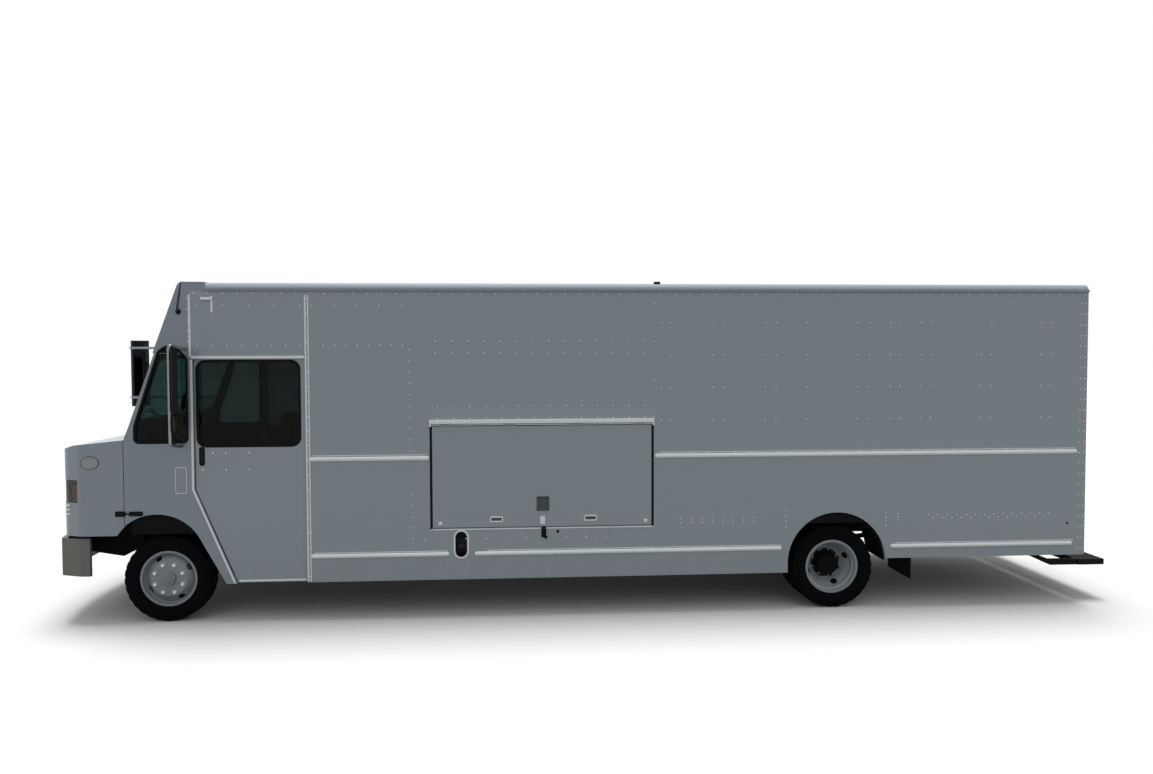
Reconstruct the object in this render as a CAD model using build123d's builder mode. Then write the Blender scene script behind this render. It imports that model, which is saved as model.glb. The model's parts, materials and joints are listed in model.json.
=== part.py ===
"""Walk-in step van fitted out as a food truck: body, cab, chassis, wheels and doors.

X runs rearward, -Y is the driver's side, Z is up and Z = 0 is the ground.
All sizes are millimetres; stations are measured back from the front axle.
"""
from math import atan2, cos, radians, sin

from build123d import *
import os

os.makedirs("parts", exist_ok=True)

# ---- overall sizes -------------------------------------------------------
WHEELBASE = 6393
BUMPER_REACH = 1110  # front axle to the bumper's foremost point
FAR_MIRROR = (-1245, -40, 1900, 2690)  # station, turn, low and high heights
FRONT_REACH = 1328.43  # front axle to the kerb-side mirror's foremost corner
REAR_REACH = 2863  # rear axle to the rear step's edge
BODY_WIDTH = 2438
FRONT_AXLE_X = -(WHEELBASE + REAR_REACH - FRONT_REACH) / 2
REAR_AXLE_X = FRONT_AXLE_X + WHEELBASE
HALF_WIDTH = BODY_WIDTH / 2
SIDES = {"left": -1, "right": 1}
RUNNING_GAP = 6  # shut lines and sliding clearances
SEAT_GAP = 0.3  # clearance of a seated pane, pin or pad

# ---- body shell ----------------------------------------------------------
WALL = 40  # whole side wall: skin, posts and liner
SKIN = 12  # wall where the sliding door runs behind it
SKIRT_Z = 365
REAR_SKIRT_Z = 490
FLOOR_TOP = 900
FLOOR_THICKNESS = 60
DRIP_Z = 3112
ROOF_EDGE_Z = DRIP_Z + 78
ROOF_CROWN = 28
ROOF_RADIUS = 70
ROOF_SHELL = 30
BODY_REAR = 2572  # behind the rear axle
REAR_FRAME_DEPTH = 60
BODY_REAR_X = REAR_AXLE_X + BODY_REAR

# ---- cab -----------------------------------------------------------------
HOOD_SEAM = -355  # stations from the front axle
HOOD_SEAM_TOP_Z = 1727
GLASS_BASE = (-307, 1850)  # station, height of the windshield plane's foot
GLASS_HEAD = (-62, 2540)
CAP_SPLIT_Z = 2640
CAP_SEAM = 264
CAP_ROOF_END = 400
CAP_BROW = (150, DRIP_Z + 38)
PILLAR_FRONT = 285  # front edge of the doorway
PILLAR_KINK_Z = 1255
DOORWAY_FOOT = 655
DOORWAY_REAR = 1306
DOORWAY_TOP_Z = 2475
ARCH_FRONT = [(-430, 832), (-60, 1031), (335, 775)]  # arc through stations, heights
ARCH_HEEL = (560, SKIRT_Z)

# ---- sliding cab doors ---------------------------------------------------
DOOR_THICKNESS = 30
DOOR_LAP = 24  # rear edge hidden behind the wall
DOOR_TRAVEL = 950
DOOR_HEAD_LAP = 25
DOOR_WINDOW = (320, 1246, 1668, 2452)  # stations and heights
DOOR_WINDOW_RADIUS = 72
GLASS = 5

# ---- side hatch (driver's side) and serving hatch (kerb side) ------------
HATCH = (2478, 4588, 856, 1838)  # opening: stations and heights
SERVING_HATCH = (2700, 5100, DRIP_Z - 1312, DRIP_Z - 352)
HATCH_HINGE_OUT = 10
HATCH_HINGE_UP = 6

# ---- rear end ------------------------------------------------------------
REAR_ARCH_BACK = 30  # arch centre behind the rear axle
REAR_ARCH_Z = 460
REAR_ARCH_RADIUS = 492
REAR_OPENING = (866, 905, 2780)  # half width, sill and head heights
REAR_DOOR_THICKNESS = 40
REAR_HINGE_OUT = 12

BUMPER_INSET = 15  # bumper's end inside the body's side
STEP_INSET = 119  # rear step's end inside the body's side
FLAP_INSET = 49  # mud flap's edge inside the body's side

# ---- wheels --------------------------------------------------------------
TYRE_RADIUS = 405
TYRE_WIDTH = 226
RIM_RADIUS = 264
RIM_WIDTH = 171
FRONT_TRACK = 2090
DUAL_CENTRE = 945  # half the rear track, to the middle of a pair
DUAL_SPACING = 264
LUG_CIRCLE = 275
LUG_COUNT = 8
SPINDLE_RADIUS = 38
KINGPIN_Y = 905

# ---- chassis -------------------------------------------------------------
RAIL_OUTER_Y = 430
RAIL_FLANGE = 70
RAIL_WEB = 8
RAIL_BOTTOM_Z = 600
RAIL_TOP_Z = 800
RAIL_FRONT = -860
SPRING_WIDTH = 70
SPRING_THICKNESS = 34


def at(station):
    """X of a station measured back from the front axle."""
    return FRONT_AXLE_X + station


def aft(distance):
    """X of a place measured back from the rear axle."""
    return REAR_AXLE_X + distance


def side_plane(side, half_width):
    """Plane along the body's side, with its sketch axes X and Z."""
    return Plane.XZ.offset(-side * half_width)


def save(part, name):
    part.label = name
    export_step(part, f"parts/{name}.step")


# ==== body panels =========================================================
def side_wall(side_name):
    """Long side wall behind the cab door, with the header over the doorway."""
    side = SIDES[side_name]
    rear_x = BODY_REAR_X - REAR_FRAME_DEPTH
    hatch = HATCH if side_name == "left" else SERVING_HATCH
    pocket_end = DOORWAY_REAR + DOOR_LAP + DOOR_TRAVEL + 20

    start, end, bottom, top = hatch
    with BuildSketch() as outline:
        with BuildLine():
            Polyline(
                (at(CAP_SEAM), DRIP_Z), (at(CAP_SEAM), DOORWAY_TOP_Z),
                (at(DOORWAY_REAR), DOORWAY_TOP_Z), (at(DOORWAY_REAR), SKIRT_Z),
                (REAR_AXLE_X, SKIRT_Z), (REAR_AXLE_X, REAR_SKIRT_Z),
                (rear_x, REAR_SKIRT_Z), (rear_x, DRIP_Z), close=True)
        make_face()
        with Locations((REAR_AXLE_X + REAR_ARCH_BACK, REAR_ARCH_Z)):
            Circle(REAR_ARCH_RADIUS, mode=Mode.SUBTRACT)
        with Locations((REAR_AXLE_X + REAR_ARCH_BACK, SKIRT_Z)):
            Rectangle(2 * REAR_ARCH_RADIUS, 2 * (REAR_ARCH_Z - SKIRT_Z), mode=Mode.SUBTRACT)
        with Locations((at((start + end) / 2), (bottom + top) / 2)):
            Rectangle(end - start, top - bottom, mode=Mode.SUBTRACT)
        if side_name == "left":
            with Locations((at(FILLER[0]), FILLER[1])):
                SlotOverall(FILLER[3], FILLER[2], rotation=90, mode=Mode.SUBTRACT)
    with BuildPart() as wall:
        with BuildSketch(side_plane(side, HALF_WIDTH)):
            add(outline.sketch)
        extrude(amount=side * SKIN)
        with BuildSketch(side_plane(side, HALF_WIDTH - SKIN)):
            add(outline.sketch)
            pocket_top = DOORWAY_TOP_Z + DOOR_HEAD_LAP + SEAT_GAP
            with Locations(((at(CAP_SEAM) + at(pocket_end)) / 2, (SKIRT_Z + pocket_top) / 2)):
                Rectangle(pocket_end - CAP_SEAM, pocket_top - SKIRT_Z, mode=Mode.SUBTRACT)
        extrude(amount=side * (WALL - SKIN))
    save(wall.part, f"side_wall_{side_name}")


FILLER = (2752, 702, 118, 250)  # station, height, width and length of the filler's oval


def fuel_filler():
    """Cup set in the wall's oval opening, with a round cap at its foot."""
    plane = side_plane(-1, HALF_WIDTH)
    rim, depth, sheet = 9, 70, 6
    with BuildPart() as filler:
        with BuildSketch(plane):
            with Locations((at(FILLER[0]), FILLER[1])):
                SlotOverall(FILLER[3] + 2 * rim, FILLER[2] + 2 * rim, rotation=90)
        extrude(amount=4)
        with BuildSketch(plane):
            with Locations((at(FILLER[0]), FILLER[1])):
                SlotOverall(FILLER[3] - 2 * SEAT_GAP, FILLER[2] - 2 * SEAT_GAP, rotation=90)
        extrude(amount=-depth)
        with BuildSketch(plane.offset(4)):
            with Locations((at(FILLER[0]), FILLER[1])):
                SlotOverall(FILLER[3] - 2 * sheet, FILLER[2] - 2 * sheet, rotation=90)
        extrude(amount=-(depth + 4 - sheet), mode=Mode.SUBTRACT)
        with BuildSketch(plane.offset(-depth + sheet)):
            with Locations((at(FILLER[0]), FILLER[1] - 40)):
                Circle(40)
        extrude(amount=35)
    save(filler.part, "fuel_filler")


def roof():
    """Crowned roof skin with rounded edges and a drip rail along each side."""
    start_x = at(CAP_ROOF_END) + 1
    with BuildPart() as skin:
        with BuildSketch(Plane.YZ.offset(start_x)):
            with BuildLine():
                left = Line((-HALF_WIDTH, DRIP_Z), (-HALF_WIDTH, ROOF_EDGE_Z - ROOF_RADIUS))
                corner = TangentArc(left @ 1, (-HALF_WIDTH + ROOF_RADIUS, ROOF_EDGE_Z),
                                    tangent=(0, 1))
                crown = ThreePointArc(corner @ 1, (0, ROOF_EDGE_Z + ROOF_CROWN),
                                      (HALF_WIDTH - ROOF_RADIUS, ROOF_EDGE_Z))
                down = TangentArc((HALF_WIDTH, ROOF_EDGE_Z - ROOF_RADIUS), crown @ 1,
                                  tangent=(0, 1))
                Polyline((HALF_WIDTH, ROOF_EDGE_Z - ROOF_RADIUS), (HALF_WIDTH, DRIP_Z),
                         (-HALF_WIDTH, DRIP_Z))
            make_face()
            with BuildLine(mode=Mode.PRIVATE) as under:
                inner = HALF_WIDTH - WALL
                Polyline((-inner, DRIP_Z), (-inner, ROOF_EDGE_Z - ROOF_SHELL - 20))
                ThreePointArc((-inner, ROOF_EDGE_Z - ROOF_SHELL - 20),
                              (0, ROOF_EDGE_Z + ROOF_CROWN - ROOF_SHELL),
                              (inner, ROOF_EDGE_Z - ROOF_SHELL - 20))
                Polyline((inner, ROOF_EDGE_Z - ROOF_SHELL - 20), (inner, DRIP_Z), (-inner, DRIP_Z))
            make_face(under.edges(), mode=Mode.SUBTRACT)
        extrude(amount=BODY_REAR_X - start_x)
        with BuildSketch(Plane.YZ.offset(start_x)):
            for side in SIDES.values():
                with Locations((side * (HALF_WIDTH + 9), DRIP_Z + 12)):
                    Rectangle(18, 24)
        extrude(amount=BODY_REAR_X - start_x)
    save(skin.part, "roof")


def front_cap():
    """Moulded cap over the windshield, rounded at its front corners."""
    with BuildPart() as cap:
        with BuildSketch(Plane.XZ):
            with BuildLine():
                brow = (at(CAP_BROW[0]), CAP_BROW[1])
                roof_start = (at(CAP_BROW[0] + 76), ROOF_EDGE_Z + 4)
                Line((at(GLASS_HEAD[0]) - 14, GLASS_HEAD[1] - 6), brow)
                ThreePointArc(brow, (brow[0] + 24, brow[1] + 34), roof_start)
                Polyline(roof_start, (at(CAP_ROOF_END), ROOF_EDGE_Z + 4),
                         (at(CAP_ROOF_END), DRIP_Z), (at(CAP_SEAM), DRIP_Z),
                         (at(CAP_SEAM), CAP_SPLIT_Z), (at(GLASS_HEAD[0]) + 60, CAP_SPLIT_Z),
                         (at(GLASS_HEAD[0]) + 26, GLASS_HEAD[1] - 6),
                         (at(GLASS_HEAD[0]) - 14, GLASS_HEAD[1] - 6))
            make_face()
        extrude(amount=HALF_WIDTH, both=True)
        with BuildSketch(Plane.XZ) as hollow:
            with BuildLine():
                Polyline((at(GLASS_HEAD[0]) + 26, GLASS_HEAD[1] - 7),
                         (at(CAP_BROW[0]) + 40, CAP_BROW[1] - 40),
                         (at(CAP_BROW[0]) + 90, ROOF_EDGE_Z - 36),
                         (at(CAP_ROOF_END) + 1, ROOF_EDGE_Z - 36),
                         (at(CAP_ROOF_END) + 1, GLASS_HEAD[1] - 7), close=True)
            make_face()
        extrude(amount=HALF_WIDTH - WALL, both=True, mode=Mode.SUBTRACT)
    save(cap.part, "front_cap")


def quarter_outline(shrink=0):
    """Quarter window: upright behind, raked in front, with rounded corners."""
    with BuildSketch() as window:
        with BuildLine():
            Polyline((at(-250), 1706), (at(222), 1706), (at(226), 2480), (at(130), 2588),
                     (at(40), 2588), (at(-20), 2545), (at(-246), 1860), close=True)
        make_face()
        fillet(window.vertices(), radius=38)
        if shrink:
            offset(amount=-shrink, mode=Mode.REPLACE)
    return window.sketch


def cab_side(side_name):
    """Cab side ahead of the doorway: pillar, quarter window and front arch."""
    side = SIDES[side_name]
    arch_top = (at(HOOD_SEAM), 927)
    with BuildPart() as panel:
        with BuildSketch(side_plane(side, HALF_WIDTH)):
            with BuildLine():
                outline = Polyline(
                    (at(ARCH_FRONT[2][0]), ARCH_FRONT[2][1]), (at(ARCH_HEEL[0]), ARCH_HEEL[1]),
                    (at(DOORWAY_FOOT), SKIRT_Z), (at(PILLAR_FRONT), PILLAR_KINK_Z),
                    (at(PILLAR_FRONT), DOORWAY_TOP_Z), (at(CAP_SEAM), DOORWAY_TOP_Z),
                    (at(CAP_SEAM), CAP_SPLIT_Z), (at(GLASS_HEAD[0]) + 60, CAP_SPLIT_Z),
                    (at(GLASS_HEAD[0]) + 26, GLASS_HEAD[1] - 6),
                    (at(GLASS_HEAD[0]), GLASS_HEAD[1] - 6),
                    (at(GLASS_BASE[0]), GLASS_BASE[1]), (at(HOOD_SEAM), HOOD_SEAM_TOP_Z),
                    arch_top)
                ThreePointArc(arch_top, (at(ARCH_FRONT[1][0]), ARCH_FRONT[1][1]),
                              (at(ARCH_FRONT[2][0]), ARCH_FRONT[2][1]))
            make_face()
            add(quarter_outline(), mode=Mode.SUBTRACT)
        extrude(amount=side * WALL)
    save(panel.part, f"cab_side_{side_name}")


def cowl():
    """Firewall, cowl top and windshield frame between the cab sides."""
    rake = atan2(GLASS_HEAD[0] - GLASS_BASE[0], GLASS_HEAD[1] - GLASS_BASE[1])
    length = ((GLASS_HEAD[0] - GLASS_BASE[0]) ** 2 + (GLASS_HEAD[1] - GLASS_BASE[1]) ** 2) ** 0.5
    inner = HALF_WIDTH - WALL
    with BuildPart() as frame:
        with BuildSketch(Plane.XZ):
            with BuildLine():
                Polyline((at(HOOD_SEAM), 1080), (at(HOOD_SEAM), HOOD_SEAM_TOP_Z),
                         (at(GLASS_BASE[0]), GLASS_BASE[1]),
                         (at(GLASS_BASE[0]) + 42, GLASS_BASE[1] - 14),
                         (at(HOOD_SEAM) + 40, HOOD_SEAM_TOP_Z - 12),
                         (at(HOOD_SEAM) + 40, 1080), close=True)
            make_face()
        extrude(amount=inner, both=True)
        with Locations((at(HOOD_SEAM), 0, ENGINE_COVER[3] / 2)):
            Box(200, 2 * ENGINE_COVER[2], ENGINE_COVER[3], mode=Mode.SUBTRACT)
        with BuildSketch(windshield_plane(0)):
            with Locations((0, length / 2 - 5)):
                Rectangle(2 * inner, length - 10)
            with Locations((-PANE_CENTRE, length / 2), (PANE_CENTRE, length / 2)):
                RectangleRounded(PANE_WIDTH, length - 2 * PANE_BORDER, 60, mode=Mode.SUBTRACT)
        extrude(amount=-WALL)
    save(frame.part, "cowl")


PANE_BORDER = 55
PANE_WIDTH = 1090
PANE_CENTRE = PANE_WIDTH / 2 + 18


def windshield_plane(depth):
    """Plane of the windshield: origin at its foot, Y up the glass, normal forward."""
    foot, head = GLASS_BASE, GLASS_HEAD
    run, rise = head[0] - foot[0], head[1] - foot[1]
    length = (run ** 2 + rise ** 2) ** 0.5
    normal = Vector(-rise / length, 0, run / length)
    origin = Vector(at(foot[0]), 0, foot[1]) - normal * depth
    return Plane(origin=origin, x_dir=(0, -1, 0), z_dir=normal)


def cab_glass():
    """Two windshield panes and the two quarter windows."""
    run, rise = GLASS_HEAD[0] - GLASS_BASE[0], GLASS_HEAD[1] - GLASS_BASE[1]
    length = (run ** 2 + rise ** 2) ** 0.5
    with BuildPart() as panes:
        with BuildSketch(windshield_plane(12)):
            with Locations((-PANE_CENTRE, length / 2), (PANE_CENTRE, length / 2)):
                RectangleRounded(PANE_WIDTH - 2 * SEAT_GAP,
                                 length - 2 * PANE_BORDER - 2 * SEAT_GAP, 60 - SEAT_GAP)
        extrude(amount=-GLASS)
        for side in SIDES.values():
            with BuildSketch(side_plane(side, HALF_WIDTH - 12)):
                add(quarter_outline(SEAT_GAP))
            extrude(amount=side * GLASS)
    save(panes.part, "cab_glass")


def floor():
    """Load and cab floor with step wells, wheel boxes and the engine cover."""
    cab_edge = HALF_WIDTH - WALL - DOOR_THICKNESS - 2 * RUNNING_GAP + 18
    load_edge = HALF_WIDTH - WALL - SEAT_GAP
    start_x, end_x = at(HOOD_SEAM) + 41, BODY_REAR_X - REAR_FRAME_DEPTH - SEAT_GAP
    pocket_end = at(DOORWAY_REAR + DOOR_LAP + DOOR_TRAVEL + 20)
    underside = FLOOR_TOP - FLOOR_THICKNESS
    boxes = [(at(start), at(end), side * (load_edge + inner_y) / 2, load_edge - inner_y, top)
             for start, end, inner_y, top in WHEEL_BOXES for side in SIDES.values()]
    boxes.append((at(ENGINE_COVER[0]), at(ENGINE_COVER[1]), 0, 2 * ENGINE_COVER[2],
                  ENGINE_COVER[3]))
    with BuildPart() as deck:
        with BuildSketch(Plane.XY.offset(underside)):
            with Locations(((start_x + end_x) / 2, 0)):
                Rectangle(end_x - start_x, 2 * cab_edge)
            with Locations(((pocket_end + end_x) / 2, 0)):
                Rectangle(end_x - pocket_end, 2 * load_edge)
        extrude(amount=FLOOR_THICKNESS)
        for box_start, box_end, centre_y, width, top_z in boxes:
            centre = ((box_start + box_end) / 2, centre_y)
            with BuildSketch(Plane.XY.offset(underside)):
                with Locations(centre):
                    Rectangle(box_end - box_start, width)
            extrude(amount=top_z - underside)
        for box_start, box_end, centre_y, width, top_z in boxes:
            centre = ((box_start + box_end) / 2, centre_y)
            with BuildSketch(Plane.XY.offset(underside)):
                with Locations(centre):
                    Rectangle(box_end - box_start - 2 * BOX_SHEET, width - 2 * BOX_SHEET)
            extrude(amount=top_z - underside - BOX_SHEET, mode=Mode.SUBTRACT)
        with Locations((at(ENGINE_COVER[0]), 0, (underside + ENGINE_COVER[3] - BOX_SHEET) / 2)):
            Box(3 * BOX_SHEET, 2 * (ENGINE_COVER[2] - BOX_SHEET),
                ENGINE_COVER[3] - BOX_SHEET - underside, mode=Mode.SUBTRACT)
        for side in SIDES.values():
            start, end, width, tread_z = STEP_WELL
            centre = ((at(start) + at(end)) / 2, side * (cab_edge - width / 2))
            with BuildSketch(Plane.XY.offset(tread_z)):
                with Locations(centre):
                    Rectangle(end - start, width)
            extrude(amount=FLOOR_TOP - tread_z)
            with BuildSketch(Plane.XY.offset(tread_z + BOX_SHEET)):
                with Locations((centre[0], centre[1] + side * BOX_SHEET)):
                    Rectangle(end - start - 2 * BOX_SHEET, width)
            extrude(amount=FLOOR_TOP - tread_z, mode=Mode.SUBTRACT)
    save(deck.part, "floor")


BOX_SHEET = 20
ENGINE_COVER = (-314, 400, 380, 1250)  # start, end, half width, top height
STEP_WELL = (690, 1290, 330, 430)  # start, end, width and tread height
WHEEL_BOXES = [  # start, end, inner half width, top height
    (-314, 365, 640, 1060),
    (WHEELBASE - 460, WHEELBASE + 520, 640, 985),
]


REAR_HINGES = [1010, 1740, 2560]  # heights of the frame's hinge brackets
REAR_BARREL_RADIUS = 11
REAR_PIN_RADIUS = 6


def rear_frame():
    """Rear corner posts, header and sill around the doorway."""
    half, sill, head = REAR_OPENING
    with BuildPart() as frame:
        with BuildSketch(Plane.YZ.offset(BODY_REAR_X - REAR_FRAME_DEPTH)):
            with Locations((0, (REAR_SKIRT_Z + DRIP_Z) / 2)):
                Rectangle(BODY_WIDTH, DRIP_Z - REAR_SKIRT_Z)
            with Locations((0, (sill + head) / 2)):
                Rectangle(2 * half, head - sill, mode=Mode.SUBTRACT)
        extrude(amount=REAR_FRAME_DEPTH)
        with BuildSketch(Plane.YZ.offset(BODY_REAR_X - ROOF_SHELL)):
            with Locations((0, (DRIP_Z + ROOF_EDGE_Z - ROOF_SHELL - 24) / 2)):
                Rectangle(BODY_WIDTH - 2 * WALL - 2, ROOF_EDGE_Z - ROOF_SHELL - 24 - DRIP_Z)
        extrude(amount=ROOF_SHELL)
        for side in SIDES.values():
            for z in REAR_HINGES:
                with Locations((BODY_REAR_X + 2.5, side * (half + 36), z)):
                    Box(5, 60, 38)
                with Locations((BODY_REAR_X + REAR_HINGE_OUT, side * half, z)):
                    Cylinder(REAR_BARREL_RADIUS, 38)
                with Locations((BODY_REAR_X + REAR_HINGE_OUT, side * half, z + 49)):
                    Cylinder(REAR_PIN_RADIUS, 70)
    save(frame.part, "rear_frame")


def bulkhead():
    """Partition behind the seats, with an open doorway in the middle."""
    inner = HALF_WIDTH - WALL - DOOR_THICKNESS - 2 * RUNNING_GAP + 18
    with BuildPart() as wall:
        with BuildSketch(Plane.YZ.offset(at(DOORWAY_REAR + 90))):
            with Locations((0, (FLOOR_TOP + DRIP_Z) / 2)):
                Rectangle(2 * inner, DRIP_Z - FLOOR_TOP)
            with Locations((0, (FLOOR_TOP + 2750) / 2)):
                Rectangle(760, 2750 - FLOOR_TOP, mode=Mode.SUBTRACT)
        extrude(amount=30)
    save(wall.part, "bulkhead")


# ==== doors and hatches ===================================================
def cab_door(side_name):
    """Sliding door: raked front edge over the wheel, large upper window."""
    side = SIDES[side_name]
    outer = HALF_WIDTH - SKIN - RUNNING_GAP
    start, end, bottom, top = DOOR_WINDOW
    centre = (at((start + end) / 2), (bottom + top) / 2)
    rear = at(DOORWAY_REAR + DOOR_LAP)
    front = at(PILLAR_FRONT) + RUNNING_GAP
    foot = at(DOORWAY_FOOT) + RUNNING_GAP + 4
    foot_z = SKIRT_Z + 8
    with BuildPart() as door:
        with BuildSketch(side_plane(side, outer)):
            with BuildLine():
                Polyline((front, DOORWAY_TOP_Z + DOOR_HEAD_LAP), (front, PILLAR_KINK_Z),
                         (foot, foot_z), (rear, foot_z),
                         (rear, DOORWAY_TOP_Z + DOOR_HEAD_LAP), close=True)
            make_face()
            with Locations(centre):
                RectangleRounded(end - start, top - bottom, DOOR_WINDOW_RADIUS,
                                 mode=Mode.SUBTRACT)
        extrude(amount=side * DOOR_THICKNESS)
    save(door.part, f"cab_door_{side_name}")
    with BuildPart() as pane:
        with BuildSketch(side_plane(side, outer - 12)):
            with Locations(centre):
                RectangleRounded(end - start - 2 * SEAT_GAP, top - bottom - 2 * SEAT_GAP,
                                 DOOR_WINDOW_RADIUS - SEAT_GAP)
        extrude(amount=side * GLASS)
    save(pane.part, f"cab_door_glass_{side_name}")


def hatch(name, side, opening):
    """Top-hinged panel that closes an opening flush with the wall."""
    start, end, bottom, top = opening
    axis_y, axis_z = side * (HALF_WIDTH + HATCH_HINGE_OUT), top + HATCH_HINGE_UP
    with BuildPart() as panel:
        with BuildSketch(side_plane(side, HALF_WIDTH)):
            with Locations((at((start + end) / 2), (bottom + top) / 2)):
                Rectangle(end - start - 2 * RUNNING_GAP, top - bottom - 2 * RUNNING_GAP)
        extrude(amount=side * WALL)
        for share in HATCH_KNUCKLES:
            x = at(start + (end - start) * share)
            with Locations((x, side * (HALF_WIDTH + 2), top - 24)):
                Box(HATCH_KNUCKLE_LENGTH, 4, 50)
            with Locations((x, axis_y, axis_z)):
                Cylinder(HATCH_KNUCKLE_RADIUS, HATCH_KNUCKLE_LENGTH, rotation=(0, 90, 0))
            with Locations((x, axis_y, axis_z)):
                Cylinder(HATCH_PIN_RADIUS + SEAT_GAP, HATCH_KNUCKLE_LENGTH + 2,
                         rotation=(0, 90, 0), mode=Mode.SUBTRACT)
    save(panel.part, name)


HATCH_KNUCKLES = [0.06, 0.35, 0.65, 0.94]  # places along the hatch, as shares of its length
HATCH_KNUCKLE_LENGTH = 90
HATCH_KNUCKLE_RADIUS = 9
HATCH_PIN_RADIUS = 4


def hatch_rails():
    """Drip rail over each hatch, with end plates that hold the hinge pin."""
    with BuildPart() as rails:
        for side, (start, end, bottom, top) in ((-1, HATCH), (1, SERVING_HATCH)):
            axis_y, axis_z = side * (HALF_WIDTH + HATCH_HINGE_OUT), top + HATCH_HINGE_UP
            length = end - start + 40
            x = at((start + end) / 2)
            with Locations((x, side * (HALF_WIDTH + 12), top + 34)):
                Box(length, 24, 30)
            for tip in (-1, 1):
                with Locations((x + tip * (length / 2 - 8), side * (HALF_WIDTH + 12), top + 20)):
                    Box(16, 24, 56)
            with Locations((x, axis_y, axis_z)):
                Cylinder(HATCH_PIN_RADIUS, length - 10, rotation=(0, 90, 0))
    save(rails.part, "hatch_rails")


def rear_door(side_name):
    """One of the two rear swing doors, with a pull and a lock rod."""
    side = SIDES[side_name]
    half, sill, head = REAR_OPENING
    inner_edge, outer_edge = 4, half - RUNNING_GAP
    with BuildPart() as door:
        with BuildSketch(Plane.YZ.offset(BODY_REAR_X - REAR_DOOR_THICKNESS)):
            with Locations((side * (inner_edge + outer_edge) / 2, (sill + head) / 2)):
                Rectangle(outer_edge - inner_edge, head - sill - 2 * RUNNING_GAP)
        extrude(amount=REAR_DOOR_THICKNESS)
        for z in REAR_HINGES:
            with Locations((BODY_REAR_X + 2.5, side * (half - 46), z + 50)):
                Box(5, 80, 60)
            with Locations((BODY_REAR_X + REAR_HINGE_OUT, side * half, z + 50)):
                Cylinder(REAR_BARREL_RADIUS, 60)
            with Locations((BODY_REAR_X + REAR_HINGE_OUT, side * half, z + 50)):
                Cylinder(REAR_PIN_RADIUS + SEAT_GAP, 62, mode=Mode.SUBTRACT)
    save(door.part, f"rear_door_{side_name}")


# ==== nose ================================================================
NOSE_BOTTOM_Z = 835
NOSE_CENTRE = 1060
NOSE_CORNER = 935
NOSE_HALF = 1130
NOSE_CORNER_RADIUS = 130
NOSE_SHELL = 25


def nose_volume(inset):
    """Outer form of the tilting nose, drawn in all round by inset."""
    rear = at(HOOD_SEAM) - RUNNING_GAP
    with BuildPart() as volume:
        with BuildSketch(Plane.XZ):
            with BuildLine():
                Polyline((at(-NOSE_CENTRE - 20), NOSE_BOTTOM_Z), (at(-NOSE_CENTRE - 20), 1440),
                         (at(-NOSE_CENTRE + 20), 1540), (at(-NOSE_CENTRE + 110), 1640 - inset),
                         (at(-820), 1680 - inset), (rear, HOOD_SEAM_TOP_Z - inset),
                         (rear, NOSE_BOTTOM_Z), close=True)
            make_face()
        extrude(amount=HALF_WIDTH, both=True)
        with BuildSketch(Plane.XY) as plan:
            with BuildLine():
                ThreePointArc((at(-NOSE_CORNER), -NOSE_HALF), (at(-NOSE_CENTRE), 0),
                              (at(-NOSE_CORNER), NOSE_HALF))
                Polyline((at(-NOSE_CORNER), NOSE_HALF), (at(-NOSE_CORNER + 180), HALF_WIDTH),
                         (rear + 2 * inset, HALF_WIDTH), (rear + 2 * inset, -HALF_WIDTH),
                         (at(-NOSE_CORNER + 180), -HALF_WIDTH), (at(-NOSE_CORNER), -NOSE_HALF))
            make_face()
            corners = plan.vertices().filter_by(
                lambda v: v.X < at(-NOSE_CORNER) + 200)
            fillet(corners, radius=NOSE_CORNER_RADIUS)
            if inset:
                offset(amount=-inset, mode=Mode.REPLACE)
        extrude(amount=2000, mode=Mode.INTERSECT)
    return volume.part


NOSE_PIVOT = (-1030, 822)  # station and height of the tilting nose's hinge
GRILLE = (620, 900, 1330)  # half width, bottom and top heights
HEADLAMP = (900, 1146, 1358)  # inner half width, bottom and top heights


def hood():
    """Tilting nose: moulded shell with openings for the grille and lamps."""
    outer, inner = nose_volume(0), nose_volume(NOSE_SHELL)
    half, bottom, top = GRILLE
    arch = [(at(x), z) for x, z in ARCH_FRONT]
    with BuildPart() as shell:
        add(outer)
        add(inner, mode=Mode.SUBTRACT)
        with BuildSketch(Plane.YZ.offset(at(-NOSE_CENTRE) - 50)):
            with Locations((0, (bottom + top) / 2)):
                RectangleRounded(2 * half, top - bottom, 60)
        extrude(amount=150, mode=Mode.SUBTRACT)
        for side in SIDES.values():
            with BuildSketch(Plane.YZ.offset(at(-NOSE_CENTRE) - 50)):
                with Locations((side * (HEADLAMP[0] + HALF_WIDTH) / 2,
                                (HEADLAMP[1] + HEADLAMP[2]) / 2)):
                    Rectangle(HALF_WIDTH - HEADLAMP[0], HEADLAMP[2] - HEADLAMP[1])
            extrude(amount=HEADLAMP_DEPTH, mode=Mode.SUBTRACT)
        with BuildSketch(Plane.XZ):
            with BuildLine():
                ThreePointArc(*arch)
                Polyline(arch[2], (arch[2][0], SKIRT_Z), (arch[0][0], SKIRT_Z), arch[0])
            make_face()
        extrude(amount=HALF_WIDTH, both=True, mode=Mode.SUBTRACT)
        pivot_x, pivot_z = at(NOSE_PIVOT[0]), NOSE_PIVOT[1]
        for side in SIDES.values():
            with Locations((pivot_x + 7, side * 420, pivot_z + 32)):
                Box(34, 16, 92)
            with Locations((pivot_x, side * 420, pivot_z)):
                Cylinder(10 + SEAT_GAP, 30, rotation=(90, 0, 0), mode=Mode.SUBTRACT)
    save(shell.part, "hood")


HEADLAMP_DEPTH = 330


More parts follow.
